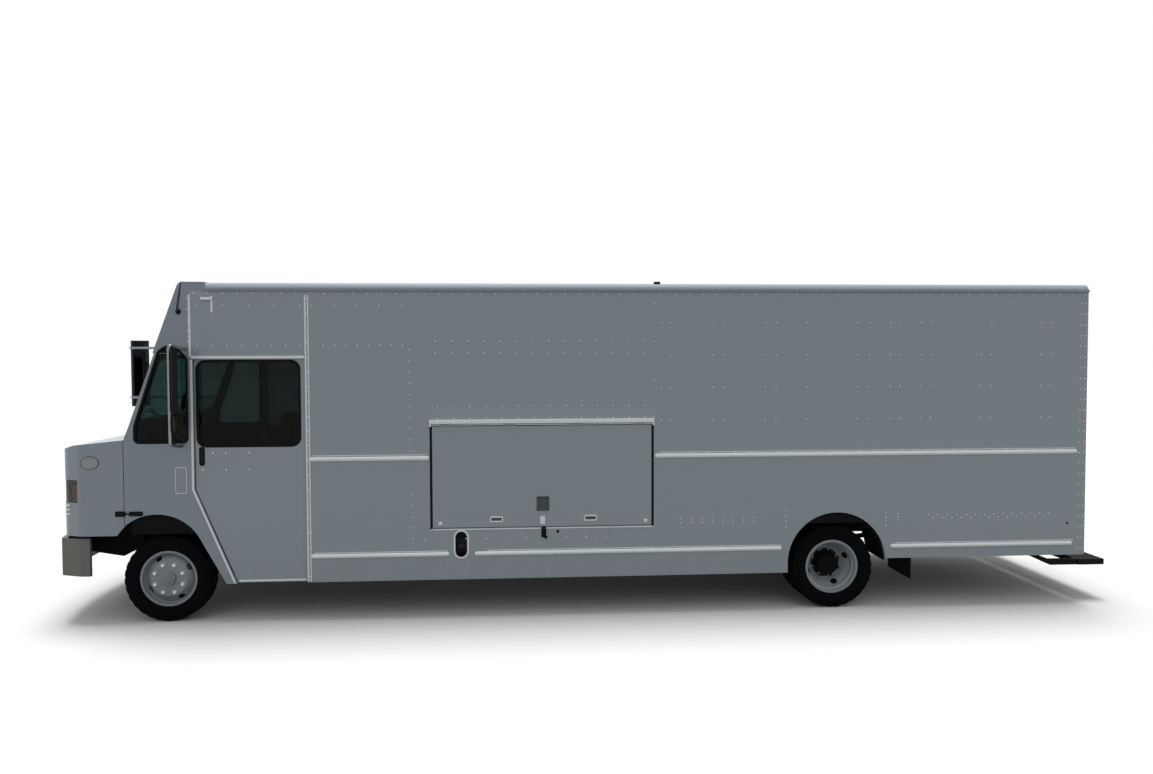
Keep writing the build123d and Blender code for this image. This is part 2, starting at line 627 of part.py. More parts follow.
def headlamps():
    """Wrap-round lamp units that follow the nose's skin."""
    with BuildPart() as lamps:
        for side in SIDES.values():
            with BuildSketch(Plane.YZ.offset(at(-NOSE_CENTRE) - 50)):
                with Locations((side * (HEADLAMP[0] + HALF_WIDTH) / 2,
                                (HEADLAMP[1] + HEADLAMP[2]) / 2)):
                    Rectangle(HALF_WIDTH - HEADLAMP[0] - 2 * SEAT_GAP,
                              HEADLAMP[2] - HEADLAMP[1] - 2 * SEAT_GAP)
            extrude(amount=HEADLAMP_DEPTH - SEAT_GAP)
        add(nose_volume(4), mode=Mode.INTERSECT)
        add(nose_volume(60), mode=Mode.SUBTRACT)
    save(lamps.part, "headlamps")


def grille():
    """Barred grille set in the nose's opening."""
    half, bottom, top = GRILLE
    with BuildPart() as bars:
        with BuildSketch(Plane.YZ.offset(at(-NOSE_CENTRE) - 50)):
            with Locations((0, (bottom + top) / 2)):
                RectangleRounded(2 * half - 2 * SEAT_GAP, top - bottom - 2 * SEAT_GAP, 60)
                with Locations(*[(y, z) for y in (-half / 2 + 4, half / 2 - 4)
                                 for z in (-144, -72, 0, 72, 144)]):
                    SlotOverall(half - 60, 44, mode=Mode.SUBTRACT)
        extrude(amount=150)
        add(nose_volume(4), mode=Mode.INTERSECT)
        add(nose_volume(40), mode=Mode.SUBTRACT)
    save(bars.part, "grille")


BUMPER = (456, 808)  # bottom and top heights


def front_bumper():
    """Deep wrap-round bumper carried on brackets from the frame rails."""
    end, corner = HALF_WIDTH - BUMPER_INSET, HALF_WIDTH - BUMPER_INSET - 84
    with BuildPart() as bumper:
        with BuildSketch(Plane.XY.offset(BUMPER[0])) as plan:
            with BuildLine():
                ThreePointArc((at(-970), -corner), (at(-BUMPER_REACH), 0), (at(-970), corner))
                Polyline((at(-970), corner), (at(-900), end - 14), (at(-680), end),
                         (at(-680), end - 40), (at(-880), end - 54), (at(-930), corner - 30))
                ThreePointArc((at(-930), corner - 30), (at(-BUMPER_REACH + 40), 0),
                              (at(-930), 30 - corner))
                Polyline((at(-930), 30 - corner), (at(-880), 54 - end), (at(-680), 40 - end),
                         (at(-680), -end), (at(-900), 14 - end), (at(-970), -corner))
            make_face()
        extrude(amount=BUMPER[1] - BUMPER[0])
        for side in SIDES.values():
            bracket = BUMPER_REACH + RAIL_FRONT - SEAT_GAP
            with Locations((at(RAIL_FRONT) - SEAT_GAP - bracket / 2,
                            side * (RAIL_OUTER_Y - 15), 700)):
                Box(bracket, 30, 140)
        with BuildSketch(Plane.XY.offset(BUMPER[0])) as face_plan:
            with BuildLine():
                ThreePointArc((at(-970), -corner), (at(-BUMPER_REACH), 0), (at(-970), corner))
                Polyline((at(-970), corner), (at(0), end + 300), (at(0), -end - 300),
                         (at(-970), -corner))
            make_face()
        extrude(amount=BUMPER[1] - BUMPER[0], mode=Mode.INTERSECT)
    save(bumper.part, "front_bumper")


# ==== trim on the body ====================================================
RUB_RAILS = {  # start, end, height
    "left": [(at(1353), at(2444), 1529), (at(4628), aft(2463), 1529),
             (at(1356), at(2625), 608), (at(2891), aft(-536), 608), (aft(582), aft(2426), 608)],
    "right": [(at(1353), aft(2463), 1529), (at(1356), aft(-536), 608),
              (aft(582), aft(2426), 608)],
}
RUB_HEIGHT = 46
RUB_DEPTH = 20


def rub_rails():
    """Half-round rails along both sides, bevelled at their ends."""
    with BuildPart() as rails:
        for side_name, side in SIDES.items():
            for start, end, z in RUB_RAILS[side_name]:
                with BuildSketch(Plane.YZ.offset(start)):
                    with BuildLine():
                        foot = side * HALF_WIDTH
                        ThreePointArc((foot, z - RUB_HEIGHT / 2), (foot + side * RUB_DEPTH, z),
                                      (foot, z + RUB_HEIGHT / 2))
                        Line((foot, z + RUB_HEIGHT / 2), (foot, z - RUB_HEIGHT / 2))
                    make_face()
                extrude(amount=end - start)
    save(rails.part, "rub_rails")


def mirror_normal(angle):
    """Unit vector out of a mirror's face that is turned by angle about Z."""
    return cos(radians(angle)), sin(radians(angle))


def mirror_reach(angle):
    """How far a turned head reaches from its centre along X and along Y."""
    across, through = MIRROR_WIDTH / 2, MIRROR_DEPTH / 2
    run, rise = abs(sin(radians(angle))), cos(radians(angle))
    return across * run + through * rise, across * rise + through * run


def mirrors():
    """Mirror arms and heads: close in on the driver's side, far forward on the other."""
    near_y = -(MIRROR_OUT - mirror_reach(NEAR_MIRROR[1])[1])
    far_y = MIRROR_OUT - mirror_reach(FAR_MIRROR[1])[1]
    normal_x, normal_y = mirror_normal(NEAR_MIRROR[1])
    behind = MIRROR_DEPTH / 2 + MIRROR_TUBE + SEAT_GAP
    near_tube = (NEAR_MIRROR[0] - behind * normal_x, near_y - behind * normal_y)
    in_head = MIRROR_WIDTH / 2 - MIRROR_TUBE
    far_edge = (FAR_MIRROR[0] + in_head * sin(radians(FAR_MIRROR[1])),
                far_y - in_head * cos(radians(FAR_MIRROR[1])))
    far_head = Location((at(FAR_MIRROR[0]), far_y, (FAR_MIRROR[2] + FAR_MIRROR[3]) / 2),
                        (0, 0, FAR_MIRROR[1]))
    pillar_y = HALF_WIDTH + SEAT_GAP
    near_elbow = -pillar_y + MIRROR_ELBOW * (near_tube[1] + pillar_y)
    far_elbow = pillar_y + MIRROR_ELBOW * (far_edge[1] - pillar_y)
    bend = min(MIRROR_BEND, 0.4 * (abs(near_elbow) - pillar_y))
    tubes = [[(225, -pillar_y, 2572), (225, near_elbow, 2572), (*near_tube, 2610),
              (*near_tube, 1705), (180, near_elbow, 1672), (180, -pillar_y, 1672)]]
    for high_z, foot_x in ((2600, -5), (2010, -215)):
        tubes.append([(foot_x, pillar_y, high_z), (foot_x, far_elbow, high_z),
                      (far_edge[0] - 30, far_edge[1] - 60, high_z), (*far_edge, high_z)])
    with BuildPart() as arms:
        for corners in tubes:
            with BuildLine() as path:
                FilletPolyline(*[(at(x), y, z) for x, y, z in corners], radius=bend)
            with BuildSketch(Plane(origin=path.line @ 0, z_dir=path.line % 0)):
                Circle(MIRROR_TUBE)
            sweep(path=path.line)
        with Locations(far_head):
            Box(MIRROR_DEPTH + 2 * SEAT_GAP, MIRROR_WIDTH + 2 * SEAT_GAP,
                FAR_MIRROR[3] - FAR_MIRROR[2], mode=Mode.SUBTRACT)
    save(arms.part, "mirror_arms")
    with BuildPart() as heads:
        for (station, angle, low_z, high_z), y in ((NEAR_MIRROR, near_y), (FAR_MIRROR, far_y)):
            with Locations(Location((at(station), y, (low_z + high_z) / 2), (0, 0, angle))):
                Box(MIRROR_DEPTH, MIRROR_WIDTH, high_z - low_z)
    save(heads.part, "mirror_heads")


MIRROR_STANDOFF = 302  # body's side to the outermost edge of a mirror
MIRROR_OUT = HALF_WIDTH + MIRROR_STANDOFF
MIRROR_WIDTH = 200
MIRROR_DEPTH = 50
MIRROR_TUBE = 14
MIRROR_ELBOW = 0.417  # share of the reach at which an arm's elbow stands off the body
MIRROR_BEND = 30  # radius of an arm's elbows
NEAR_MIRROR = (186, 24, 2000, 2560)  # station, turn, low and high heights


# ==== chassis =============================================================
def chassis_frame():
    """Two channel rails joined by cross members, with sills up to the floor."""
    rail_rear = BODY_REAR_X - 90
    with BuildPart() as frame:
        for side in SIDES.values():
            with BuildSketch(Plane.YZ.offset(at(RAIL_FRONT))):
                centre = side * (RAIL_OUTER_Y - RAIL_FLANGE / 2)
                with Locations((centre, (RAIL_BOTTOM_Z + RAIL_TOP_Z) / 2)):
                    Rectangle(RAIL_FLANGE, RAIL_TOP_Z - RAIL_BOTTOM_Z)
                with Locations((centre - side * RAIL_WEB, (RAIL_BOTTOM_Z + RAIL_TOP_Z) / 2)):
                    Rectangle(RAIL_FLANGE, RAIL_TOP_Z - RAIL_BOTTOM_Z - 2 * RAIL_WEB,
                              mode=Mode.SUBTRACT)
            extrude(amount=rail_rear - at(RAIL_FRONT))
            pivot_x, pivot_z = at(NOSE_PIVOT[0]), NOSE_PIVOT[1]
            with Locations(((pivot_x + at(RAIL_FRONT) + 20) / 2, side * 395, pivot_z - 23)):
                Box(at(RAIL_FRONT) + 20 - pivot_x, 30, 46)
            with Locations((pivot_x, side * 395, pivot_z)):
                Cylinder(12, 30, rotation=(90, 0, 0))
            with Locations((pivot_x, side * 408, pivot_z)):
                Cylinder(10, 56, rotation=(90, 0, 0))
        for x in CROSS_MEMBERS:
            with Locations((x, 0, RAIL_TOP_Z - 50)):
                Box(80, 2 * (RAIL_OUTER_Y - RAIL_WEB), 80)
        for x in FLOOR_SILLS:
            with Locations((x, 0, (RAIL_TOP_Z + FLOOR_TOP - FLOOR_THICKNESS) / 2)):
                Box(60, 2 * (HALF_WIDTH - 100), FLOOR_TOP - FLOOR_THICKNESS - RAIL_TOP_Z)
    save(frame.part, "chassis_frame")


CROSS_MEMBERS = [at(-800), at(1200), at(2400), aft(-2793), aft(-1593), aft(-693),
                 aft(807), aft(2207)]
FLOOR_SILLS = [at(1400), at(2100), at(2800), at(3500), aft(-2193), aft(-1493), aft(-793),
               aft(907), aft(1607), aft(2307)]


def leaf_springs():
    """Four bowed leaf packs with hangers on the rails and pads on the axles."""
    with BuildPart() as springs:
        for axle_x, half_length, eye_z, seat_z in (
                (FRONT_AXLE_X, 640, 560, 455), (REAR_AXLE_X, 760, 560, 487)):
            for side in SIDES.values():
                centre_y = side * (RAIL_OUTER_Y - RAIL_FLANGE / 2)
                with BuildSketch(Plane.XZ.offset(-centre_y)):
                    with BuildLine():
                        ThreePointArc((axle_x - half_length, eye_z), (axle_x, seat_z),
                                      (axle_x + half_length, eye_z))
                        Line((axle_x + half_length, eye_z),
                             (axle_x + half_length, eye_z + SPRING_THICKNESS))
                        ThreePointArc((axle_x + half_length, eye_z + SPRING_THICKNESS),
                                      (axle_x, seat_z + SPRING_THICKNESS),
                                      (axle_x - half_length, eye_z + SPRING_THICKNESS))
                        Line((axle_x - half_length, eye_z + SPRING_THICKNESS),
                             (axle_x - half_length, eye_z))
                    make_face()
                extrude(amount=SPRING_WIDTH / 2, both=True)
                for end in (-1, 1):
                    with Locations((axle_x + end * (half_length - 20), centre_y,
                                    (eye_z + RAIL_BOTTOM_Z) / 2)):
                        Box(60, SPRING_WIDTH, RAIL_BOTTOM_Z - eye_z)
    save(springs.part, "leaf_springs")


def front_axle():
    """Dropped I-beam between the kingpins, with pads under the springs."""
    with BuildPart() as axle:
        with BuildSketch(Plane.YZ.offset(FRONT_AXLE_X)):
            with BuildLine():
                Polyline((-KINGPIN_Y, 455), (-KINGPIN_Y, 355), (-700, 325),
                         (700, 325), (KINGPIN_Y, 355), (KINGPIN_Y, 455),
                         (KINGPIN_Y - 60, 455), (600, 430), (-600, 430), (-KINGPIN_Y + 60, 455),
                         close=True)
            make_face()
        extrude(amount=45, both=True)
        for side in SIDES.values():
            with Locations((FRONT_AXLE_X, side * KINGPIN_Y, 405)):
                Cylinder(45, 100)
            with Locations((FRONT_AXLE_X, side * (RAIL_OUTER_Y - RAIL_FLANGE / 2), 441)):
                Box(150, SPRING_WIDTH + 20, 28)
            with BuildSketch(Plane.XY.offset(300)):
                with Locations((FRONT_AXLE_X, side * KINGPIN_Y)):
                    Circle(KINGPIN_RADIUS + SEAT_GAP)
            extrude(amount=260, mode=Mode.SUBTRACT)
    save(axle.part, "front_axle")


KINGPIN_RADIUS = 22


def knuckle(side_name):
    """Steering knuckle: forked yoke on the kingpin, with a spindle and an arm."""
    side = SIDES[side_name]
    pin = (FRONT_AXLE_X, side * KINGPIN_Y)
    with BuildPart() as body:
        for z in (TYRE_RADIUS - 92, TYRE_RADIUS + 92):
            with Locations((pin[0], pin[1] + side * 20, z)):
                Box(100, 100, 44)
        with Locations((pin[0], pin[1] + side * 62, TYRE_RADIUS)):
            Box(100, 30, 228)
        with BuildSketch(Plane.XY.offset(TYRE_RADIUS - 114)):
            with Locations(pin):
                Circle(KINGPIN_RADIUS)
        extrude(amount=228)
        with BuildSketch(Plane.XZ.offset(-(pin[1] + side * 62))):
            with Locations((FRONT_AXLE_X, TYRE_RADIUS)):
                Circle(SPINDLE_RADIUS)
        extrude(amount=-side * (FRONT_TRACK / 2 - KINGPIN_Y - 62 + 53))
        with Locations((pin[0] + 90, pin[1] - side * 30, TYRE_RADIUS - 100)):
            Box(180, 40, 28)
    save(body.part, f"knuckle_{side_name}")


# ==== wheels ==============================================================
def tyre_section(centre_y):
    """Half section of a tyre: tread, rounded shoulders, sidewalls and beads."""
    half, crown, bead = TYRE_WIDTH / 2, TYRE_RADIUS, RIM_RADIUS - 12
    seat = RIM_WIDTH / 2 - 7 - SEAT_GAP
    with BuildSketch() as section:
        with BuildLine():
            Polyline((centre_y - half + 20, crown - 6), (centre_y - half + 45, crown),
                     (centre_y + half - 45, crown), (centre_y + half - 20, crown - 6))
            ThreePointArc((centre_y + half - 20, crown - 6), (centre_y + half, crown - 66),
                          (centre_y + seat, bead + 14))
            Polyline((centre_y + seat, bead + 14), (centre_y + seat, bead),
                     (centre_y - seat, bead), (centre_y - seat, bead + 14))
            ThreePointArc((centre_y - seat, bead + 14), (centre_y - half, crown - 66),
                          (centre_y - half + 20, crown - 6))
        make_face()
    return section.sketch


def wheel_axis(x):
    return Axis((x, 0, TYRE_RADIUS), (0, 1, 0))


def tyres(name, axle_x, centres):
    with BuildPart() as rubber:
        for centre_y in centres:
            with BuildSketch(Plane(origin=(axle_x, 0, TYRE_RADIUS), x_dir=(0, 1, 0),
                                   z_dir=(1, 0, 0))):
                add(tyre_section(centre_y))
            revolve(axis=wheel_axis(axle_x))
    save(rubber.part, name)


def rim_section(centre_y):
    """Half section of a drop-centre rim with its two flanges."""
    half, lip, well = RIM_WIDTH / 2, RIM_RADIUS, RIM_RADIUS - 34
    seat = RIM_RADIUS - 12.3
    with BuildSketch() as section:
        with BuildLine():
            Polyline((centre_y - half, lip), (centre_y - half, seat - 10),
                     (centre_y - half + 50, seat - 10), (centre_y - 20, well - 8),
                     (centre_y + 20, well - 8), (centre_y + half - 50, seat - 10),
                     (centre_y + half, seat - 10), (centre_y + half, lip),
                     (centre_y + half - 7, lip), (centre_y + half - 7, seat),
                     (centre_y + half - 46, seat), (centre_y + 20, well),
                     (centre_y - 20, well), (centre_y - half + 46, seat),
                     (centre_y - half + 7, seat), (centre_y - half + 7, lip), close=True)
        make_face()
    return section.sketch


def disc_section(points):
    """Closed half section through the given axial and radial places."""
    with BuildSketch() as section:
        with BuildLine():
            Polyline(*points, close=True)
        make_face()
    return section.sketch


def front_wheel(side_name):
    """Front rim with its disc set outboard, hub, lugs and hand holes."""
    side = SIDES[side_name]
    centre = side * FRONT_TRACK / 2
    face = centre + side * 78
    plane = Plane(origin=(FRONT_AXLE_X, 0, TYRE_RADIUS), x_dir=(0, 1, 0), z_dir=(1, 0, 0))
    with BuildPart() as wheel:
        with BuildSketch(plane):
            add(rim_section(centre))
            add(disc_section([(face, 0), (face, 170), (centre + side * 22, 236),
                          (centre + side * 4, 236), (face - side * 24, 160), (face - side * 24, 0)]))
            add(disc_section([(face, 0), (face, 66), (face + side * 34, 60), (face + side * 38, 0)]))
            add(disc_section([(face - side * 24, 0), (face - side * 24, 190),
                          (centre - side * 62, 190), (centre - side * 62, 0)]))
        revolve(axis=wheel_axis(FRONT_AXLE_X))
        lug_plane = Plane(origin=(FRONT_AXLE_X, face, TYRE_RADIUS), x_dir=(1, 0, 0),
                          z_dir=(0, side, 0))
        with BuildSketch(lug_plane):
            with PolarLocations(LUG_CIRCLE / 2, LUG_COUNT, start_angle=22.5):
                Circle(15)
        extrude(amount=22)
        with BuildSketch(lug_plane):
            with PolarLocations(206, 4, start_angle=30):
                SlotOverall(66, 40, rotation=90)
        extrude(amount=-70, mode=Mode.SUBTRACT)
        with BuildSketch(Plane.XZ.offset(-(centre - side * 63))):
            with Locations((FRONT_AXLE_X, TYRE_RADIUS)):
                Circle(SPINDLE_RADIUS + SEAT_GAP)
        extrude(amount=-side * 118, mode=Mode.SUBTRACT)
    save(wheel.part, f"front_wheel_{side_name}")


def rear_wheels(side_name):
    """Pair of rear rims bolted disc to disc around the hub and drum."""
    side = SIDES[side_name]
    inner_c = side * (DUAL_CENTRE - DUAL_SPACING / 2)
    outer_c = side * (DUAL_CENTRE + DUAL_SPACING / 2)
    middle = side * DUAL_CENTRE
    plane = Plane(origin=(REAR_AXLE_X, 0, TYRE_RADIUS), x_dir=(0, 1, 0), z_dir=(1, 0, 0))
    with BuildPart() as pair:
        with BuildSketch(plane):
            add(rim_section(inner_c))
            add(rim_section(outer_c))
            add(disc_section([(middle + side * 12, 0), (middle + side * 12, 165),
                          (outer_c - side * 20, 232), (outer_c - side * 40, 236),
                          (middle, 180), (inner_c + side * 40, 236), (inner_c + side * 20, 232),
                          (middle - side * 12, 165), (middle - side * 12, 0)]))
            add(disc_section([(middle + side * 10, 0), (middle + side * 10, 116),
                          (middle + side * 95, 104), (middle + side * 112, 90),
                          (middle + side * 112, 0)]))
            add(disc_section([(middle - side * 10, 0), (middle - side * 10, 185),
                          (middle - side * 190, 185), (middle - side * 190, 0)]))
        revolve(axis=wheel_axis(REAR_AXLE_X))
        lug_plane = Plane(origin=(REAR_AXLE_X, middle + side * 12, TYRE_RADIUS),
                          x_dir=(1, 0, 0), z_dir=(0, side, 0))
        with BuildSketch(lug_plane):
            with PolarLocations(LUG_CIRCLE / 2, LUG_COUNT, start_angle=22.5):
                Circle(15)
        extrude(amount=40)
        with BuildSketch(Plane.XZ.offset(-(middle - side * 191))):
            with Locations((REAR_AXLE_X, TYRE_RADIUS)):
                Circle(REAR_SPINDLE_RADIUS + SEAT_GAP)
        extrude(amount=-side * 260, mode=Mode.SUBTRACT)
    save(pair.part, f"rear_wheels_{side_name}")


REAR_SPINDLE_RADIUS = 50


def rear_axle():
    """Axle housing with its round differential case and spindles."""
    with BuildPart() as axle:
        with BuildSketch(Plane.XZ):
            with Locations((REAR_AXLE_X, TYRE_RADIUS)):
                Circle(70)
        extrude(amount=DUAL_CENTRE - 200, both=True)
        with BuildSketch(Plane.XZ):
            with Locations((REAR_AXLE_X, TYRE_RADIUS)):
                Circle(REAR_SPINDLE_RADIUS)
        extrude(amount=DUAL_CENTRE + 60, both=True)
        with Locations((REAR_AXLE_X, 0, TYRE_RADIUS)):
            Sphere(185)
        with Locations((REAR_AXLE_X - 200, 0, TYRE_RADIUS)):
            Cylinder(70, 120, rotation=(0, 90, 0))
        for side in SIDES.values():
            with Locations((REAR_AXLE_X, side * (RAIL_OUTER_Y - RAIL_FLANGE / 2), 470)):
                Box(150, SPRING_WIDTH + 10, 34)
    save(axle.part, "rear_axle")


def driveline():
    """Gearbox and two-piece propeller shaft."""
    start = at(ENGINE[1]) + SEAT_GAP
    with BuildPart() as shaft:
        with BuildSketch(Plane.YZ.offset(start)):
            with Locations((0, 640)):
                Circle(190)
        extrude(amount=500)
        rear_end = (REAR_AXLE_X - 263, 0, TYRE_RADIUS)
        front_end = (start + 480, 0, 640)
        with BuildLine() as path:
            Line(front_end, rear_end)
        with BuildSketch(Plane(origin=path.line @ 0, z_dir=path.line % 0)):
            Circle(50)
        sweep(path=path.line)
    save(shaft.part, "driveline")


ENGINE = (-700, 330, 330, 560, 1200)  # front and rear stations, half width, bottom and top


def engine():
    """Engine as one plain block at its place between the rails."""
    front, rear, half, bottom, top = ENGINE
    with BuildPart() as block:
        with BuildSketch(Plane.XY.offset(bottom)):
            with Locations((at((front + rear) / 2), 0)):
                Rectangle(rear - front, 2 * half)
        extrude(amount=top - bottom)
        with Locations((at(-100), 0, 670)):
            Box(120, 2 * (RAIL_OUTER_Y - RAIL_WEB - SEAT_GAP), 60)
    save(block.part, "engine")


def fuel_tank():
    """Saddle tank behind the filler, strapped to the driver's side rail."""
    with BuildPart() as tank:
        with BuildSketch(Plane.YZ.offset(at(2500))):
            with Locations((-(RAIL_OUTER_Y + 280 + SEAT_GAP), 600)):
                RectangleRounded(560, 380, 70)
        extrude(amount=1300)
    save(tank.part, "fuel_tank")


def exhaust():
    """Silencer and tail pipe along the kerb side of the frame."""
    with BuildPart() as system:
        with BuildLine() as path:
            FilletPolyline((at(400), 550, 560), (at(1500), 560, 540), (aft(-1093), 560, 540),
                           (aft(-693), 640, 540), radius=120)
        with BuildSketch(Plane(origin=path.line @ 0, z_dir=path.line % 0)):
            Circle(38)
        sweep(path=path.line)
        with Locations((at(2600), 560, 540)):
            Cylinder(120, 900, rotation=(0, 90, 0))
        for x in EXHAUST_HANGERS:
            reach = 575 - RAIL_OUTER_Y - SEAT_GAP
            with Locations((x, 560, 600)):
                Box(30, 30, 120)
            with Locations((x, 575 - reach / 2, 645)):
                Box(30, reach, 30)
    save(system.part, "exhaust")


EXHAUST_HANGERS = [at(1700), at(3400), aft(-1493)]


def rear_step():
    """Step across the tail, carried on sloping arms from the frame."""
    tip = aft(REAR_REACH)
    half = HALF_WIDTH - STEP_INSET
    with BuildPart() as step:
        with Locations((tip - 140, 0, 384)):
            Box(280, 2 * half, 56)
        for y in (40 - half, 25 - RAIL_OUTER_Y, RAIL_OUTER_Y - 25, half - 40):
            with BuildSketch(Plane.XZ.offset(-y)):
                with BuildLine():
                    Polyline((tip - 279, 412), (tip - 560, 412), (tip - 790, 500),
                             (tip - 790, 460), (tip - 560, 356), (tip - 279, 356), close=True)
                make_face()
            extrude(amount=25, both=True)
        with Locations((tip - 765, 0, 480)):
            Box(50, 2 * half - 30, 40)
        for side in SIDES.values():
            post = RAIL_BOTTOM_Z - SEAT_GAP - 499
            with Locations((tip - 765, side * (RAIL_OUTER_Y - RAIL_FLANGE / 2), 499 + post / 2)):
                Box(50, 50, post)
    save(step.part, "rear_step")


def mud_flaps():
    inner, outer = 640, HALF_WIDTH - FLAP_INSET
    with BuildPart() as flaps:
        for side in SIDES.values():
            with Locations((aft(800), side * (inner + outer) / 2,
                            (266 + FLOOR_TOP - FLOOR_THICKNESS) / 2)):
                Box(10, outer - inner, FLOOR_TOP - FLOOR_THICKNESS - 266)
    save(flaps.part, "mud_flaps")


def rear_lamps():
    """Round stop, turn and reversing lamps on the rear posts."""
    with BuildPart() as lamps:
        for side in SIDES.values():
            with BuildSketch(Plane.YZ.offset(BODY_REAR_X)):
                with Locations(*[(side * 1060, z) for z in (640, 780)]):
                    Circle(55)
            extrude(amount=14)
    save(lamps.part, "rear_lamps")


# ==== cab fittings ========================================================
def dashboard():
    with BuildPart() as dash:
        with BuildSketch(Plane.XZ):
            with BuildLine():
                back = at(HOOD_SEAM) + WALL + SEAT_GAP
                Polyline((back, 1480), (back, 1690),
                         (at(-120), 1700), (at(-20), 1640), (at(-40), 1400), close=True)
            make_face()
        extrude(amount=HALF_WIDTH - WALL - 30, both=True)
    save(dash.part, "dashboard")


def steering_wheel():
    centre = (at(300), -600, 1640)
    tilt = Plane(origin=centre, x_dir=(0, 1, 0), z_dir=(0.35, 0, 0.94))
    with BuildPart() as wheel:
        with BuildSketch(Plane(origin=centre, x_dir=tilt.z_dir, z_dir=(0, 1, 0)).rotated((0, 0, 0))):
            with Locations((0, 215)):
                Circle(16)
        revolve(axis=Axis(centre, tuple(tilt.z_dir)))
        with BuildSketch(tilt.offset(-30)):
            Circle(70)
        extrude(amount=40)
        with BuildSketch(tilt.offset(-10)):
            with PolarLocations(110, 3, start_angle=90):
                Rectangle(210, 34)
        extrude(amount=12)
        with BuildSketch(tilt.offset(-29)):
            Circle(30)
        extrude(amount=-900)
        with Locations((centre[0], centre[1], FLOOR_TOP + SEAT_GAP - 200)):
            Box(1200, 400, 400, mode=Mode.SUBTRACT)
    save(wheel.part, "steering_wheel")


def driver_seat():
    with BuildPart() as seat:
        with Locations((at(790), -600, 1330)):
            Box(480, 500, 120)
        with Locations((at(1010), -600, 1640)):
            Box(110, 480, 620)
        with Locations((at(790), -600, 1085)):
            Box(300, 320, 370)
    save(seat.part, "driver_seat")


for name in SIDES:
    side_wall(name)
    cab_side(name)
    cab_door(name)
    rear_door(name)
    knuckle(name)
    front_wheel(name)
    rear_wheels(name)
    sign = SIDES[name]
    tyres(f"front_tyre_{name}", FRONT_AXLE_X, [sign * FRONT_TRACK / 2])
    tyres(f"rear_tyres_{name}", REAR_AXLE_X,
          [sign * (DUAL_CENTRE + half * DUAL_SPACING / 2) for half in (-1, 1)])
hatch_rails()
hatch("side_hatch", SIDES["left"], HATCH)
hatch("serving_hatch", SIDES["right"], SERVING_HATCH)
for make in (fuel_filler, roof, front_cap, cowl, cab_glass, floor, rear_frame, bulkhead, hood,
             headlamps, grille, front_bumper, rub_rails, mirrors, chassis_frame, leaf_springs,
             front_axle, rear_axle, driveline, engine, fuel_tank, exhaust, rear_step, mud_flaps,
             rear_lamps, dashboard, steering_wheel, driver_seat):
    make()
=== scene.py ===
"""Dresses a packed walk-in step van: finishes, tyres, rubbers, rivets, fittings, lamps, cab trim and a plain stage.

Every size is in metres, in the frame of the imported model: +X towards the rear, -Y the driver's side, +Z up.
"""

import json
import math

import bmesh
import bpy
from bpy.props import FloatProperty, FloatVectorProperty, IntProperty, PointerProperty
from mathutils import Matrix, Vector


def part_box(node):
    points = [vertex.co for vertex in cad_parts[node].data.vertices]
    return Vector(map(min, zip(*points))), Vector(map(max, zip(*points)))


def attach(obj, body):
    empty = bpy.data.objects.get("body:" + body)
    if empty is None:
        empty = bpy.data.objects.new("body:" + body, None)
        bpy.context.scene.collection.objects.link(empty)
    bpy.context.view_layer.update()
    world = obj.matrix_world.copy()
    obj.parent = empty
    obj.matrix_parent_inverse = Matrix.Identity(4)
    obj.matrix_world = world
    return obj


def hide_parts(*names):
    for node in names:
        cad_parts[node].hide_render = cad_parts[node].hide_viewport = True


bl_info = {
    "name": "Step Van Dressing",
    "version": (1, 0, 0),
    "blender": (4, 5, 0),
    "location": "3D View > Sidebar > Food Truck",
    "description": "Finishes, rubber, trim, fittings and lamps for a packed walk-in step van, and a plain stage",
    "category": "Object",
}

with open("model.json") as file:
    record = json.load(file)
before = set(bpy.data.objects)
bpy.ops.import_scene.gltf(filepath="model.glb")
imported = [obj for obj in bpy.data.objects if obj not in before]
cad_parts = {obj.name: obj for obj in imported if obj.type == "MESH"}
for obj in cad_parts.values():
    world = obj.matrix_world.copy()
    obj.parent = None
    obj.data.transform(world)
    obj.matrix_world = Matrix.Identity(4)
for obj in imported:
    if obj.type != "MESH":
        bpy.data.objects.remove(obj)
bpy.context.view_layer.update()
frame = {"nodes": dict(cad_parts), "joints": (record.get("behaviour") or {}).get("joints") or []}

# ---------------------------------------------------------------- places taken from the frame

JOINTS = {joint["name"]: joint for joint in frame["joints"]}
FRONT_AXLE_X, _, AXLE_Z = JOINTS["steer_left"]["pos_m"]
REAR_AXLE_X = JOINTS["rear_roll_left"]["pos_m"][0]
WHEELBASE = REAR_AXLE_X - FRONT_AXLE_X
HALF_WIDTH = -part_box("side_wall_left")[0].y
DOOR_OUT = -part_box("cab_door_left")[0].y - HALF_WIDTH  # the sliding door lies inside the wall's face
BODY_REAR_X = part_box("rear_lamps")[0].x  # the rear frame's face, behind its hinge leaves
SIDES = {"left": -1, "right": 1}


def at(station):
    """X of a station measured back from the front axle."""
    return FRONT_AXLE_X + station


def beside(side, station, z, out=0.0):
    """A point on a flat side of the body, standing out from it."""
    return Vector((at(station), side * (HALF_WIDTH + out), z))


def on_side(side, out=0.0):
    """The way to place rows of (station, height, rise) on a side of the body."""
    return lambda station, z, rise: beside(side, station, z, out + rise)


# ---------------------------------------------------------------- settings


def length(name, description, default):
    """A size setting in metres."""
    return FloatProperty(name=name, description=description, default=default, min=0.0, unit="LENGTH", precision=4)


def colour(name, description, default):
    """A colour setting, linear."""
    return FloatVectorProperty(
        name=name, description=description, default=default, subtype="COLOR", size=3, min=0.0, max=1.0
    )


def amount(name, description, default, **kind):
    """A plain number or an angle."""
    return FloatProperty(name=name, description=description, default=default, **kind)


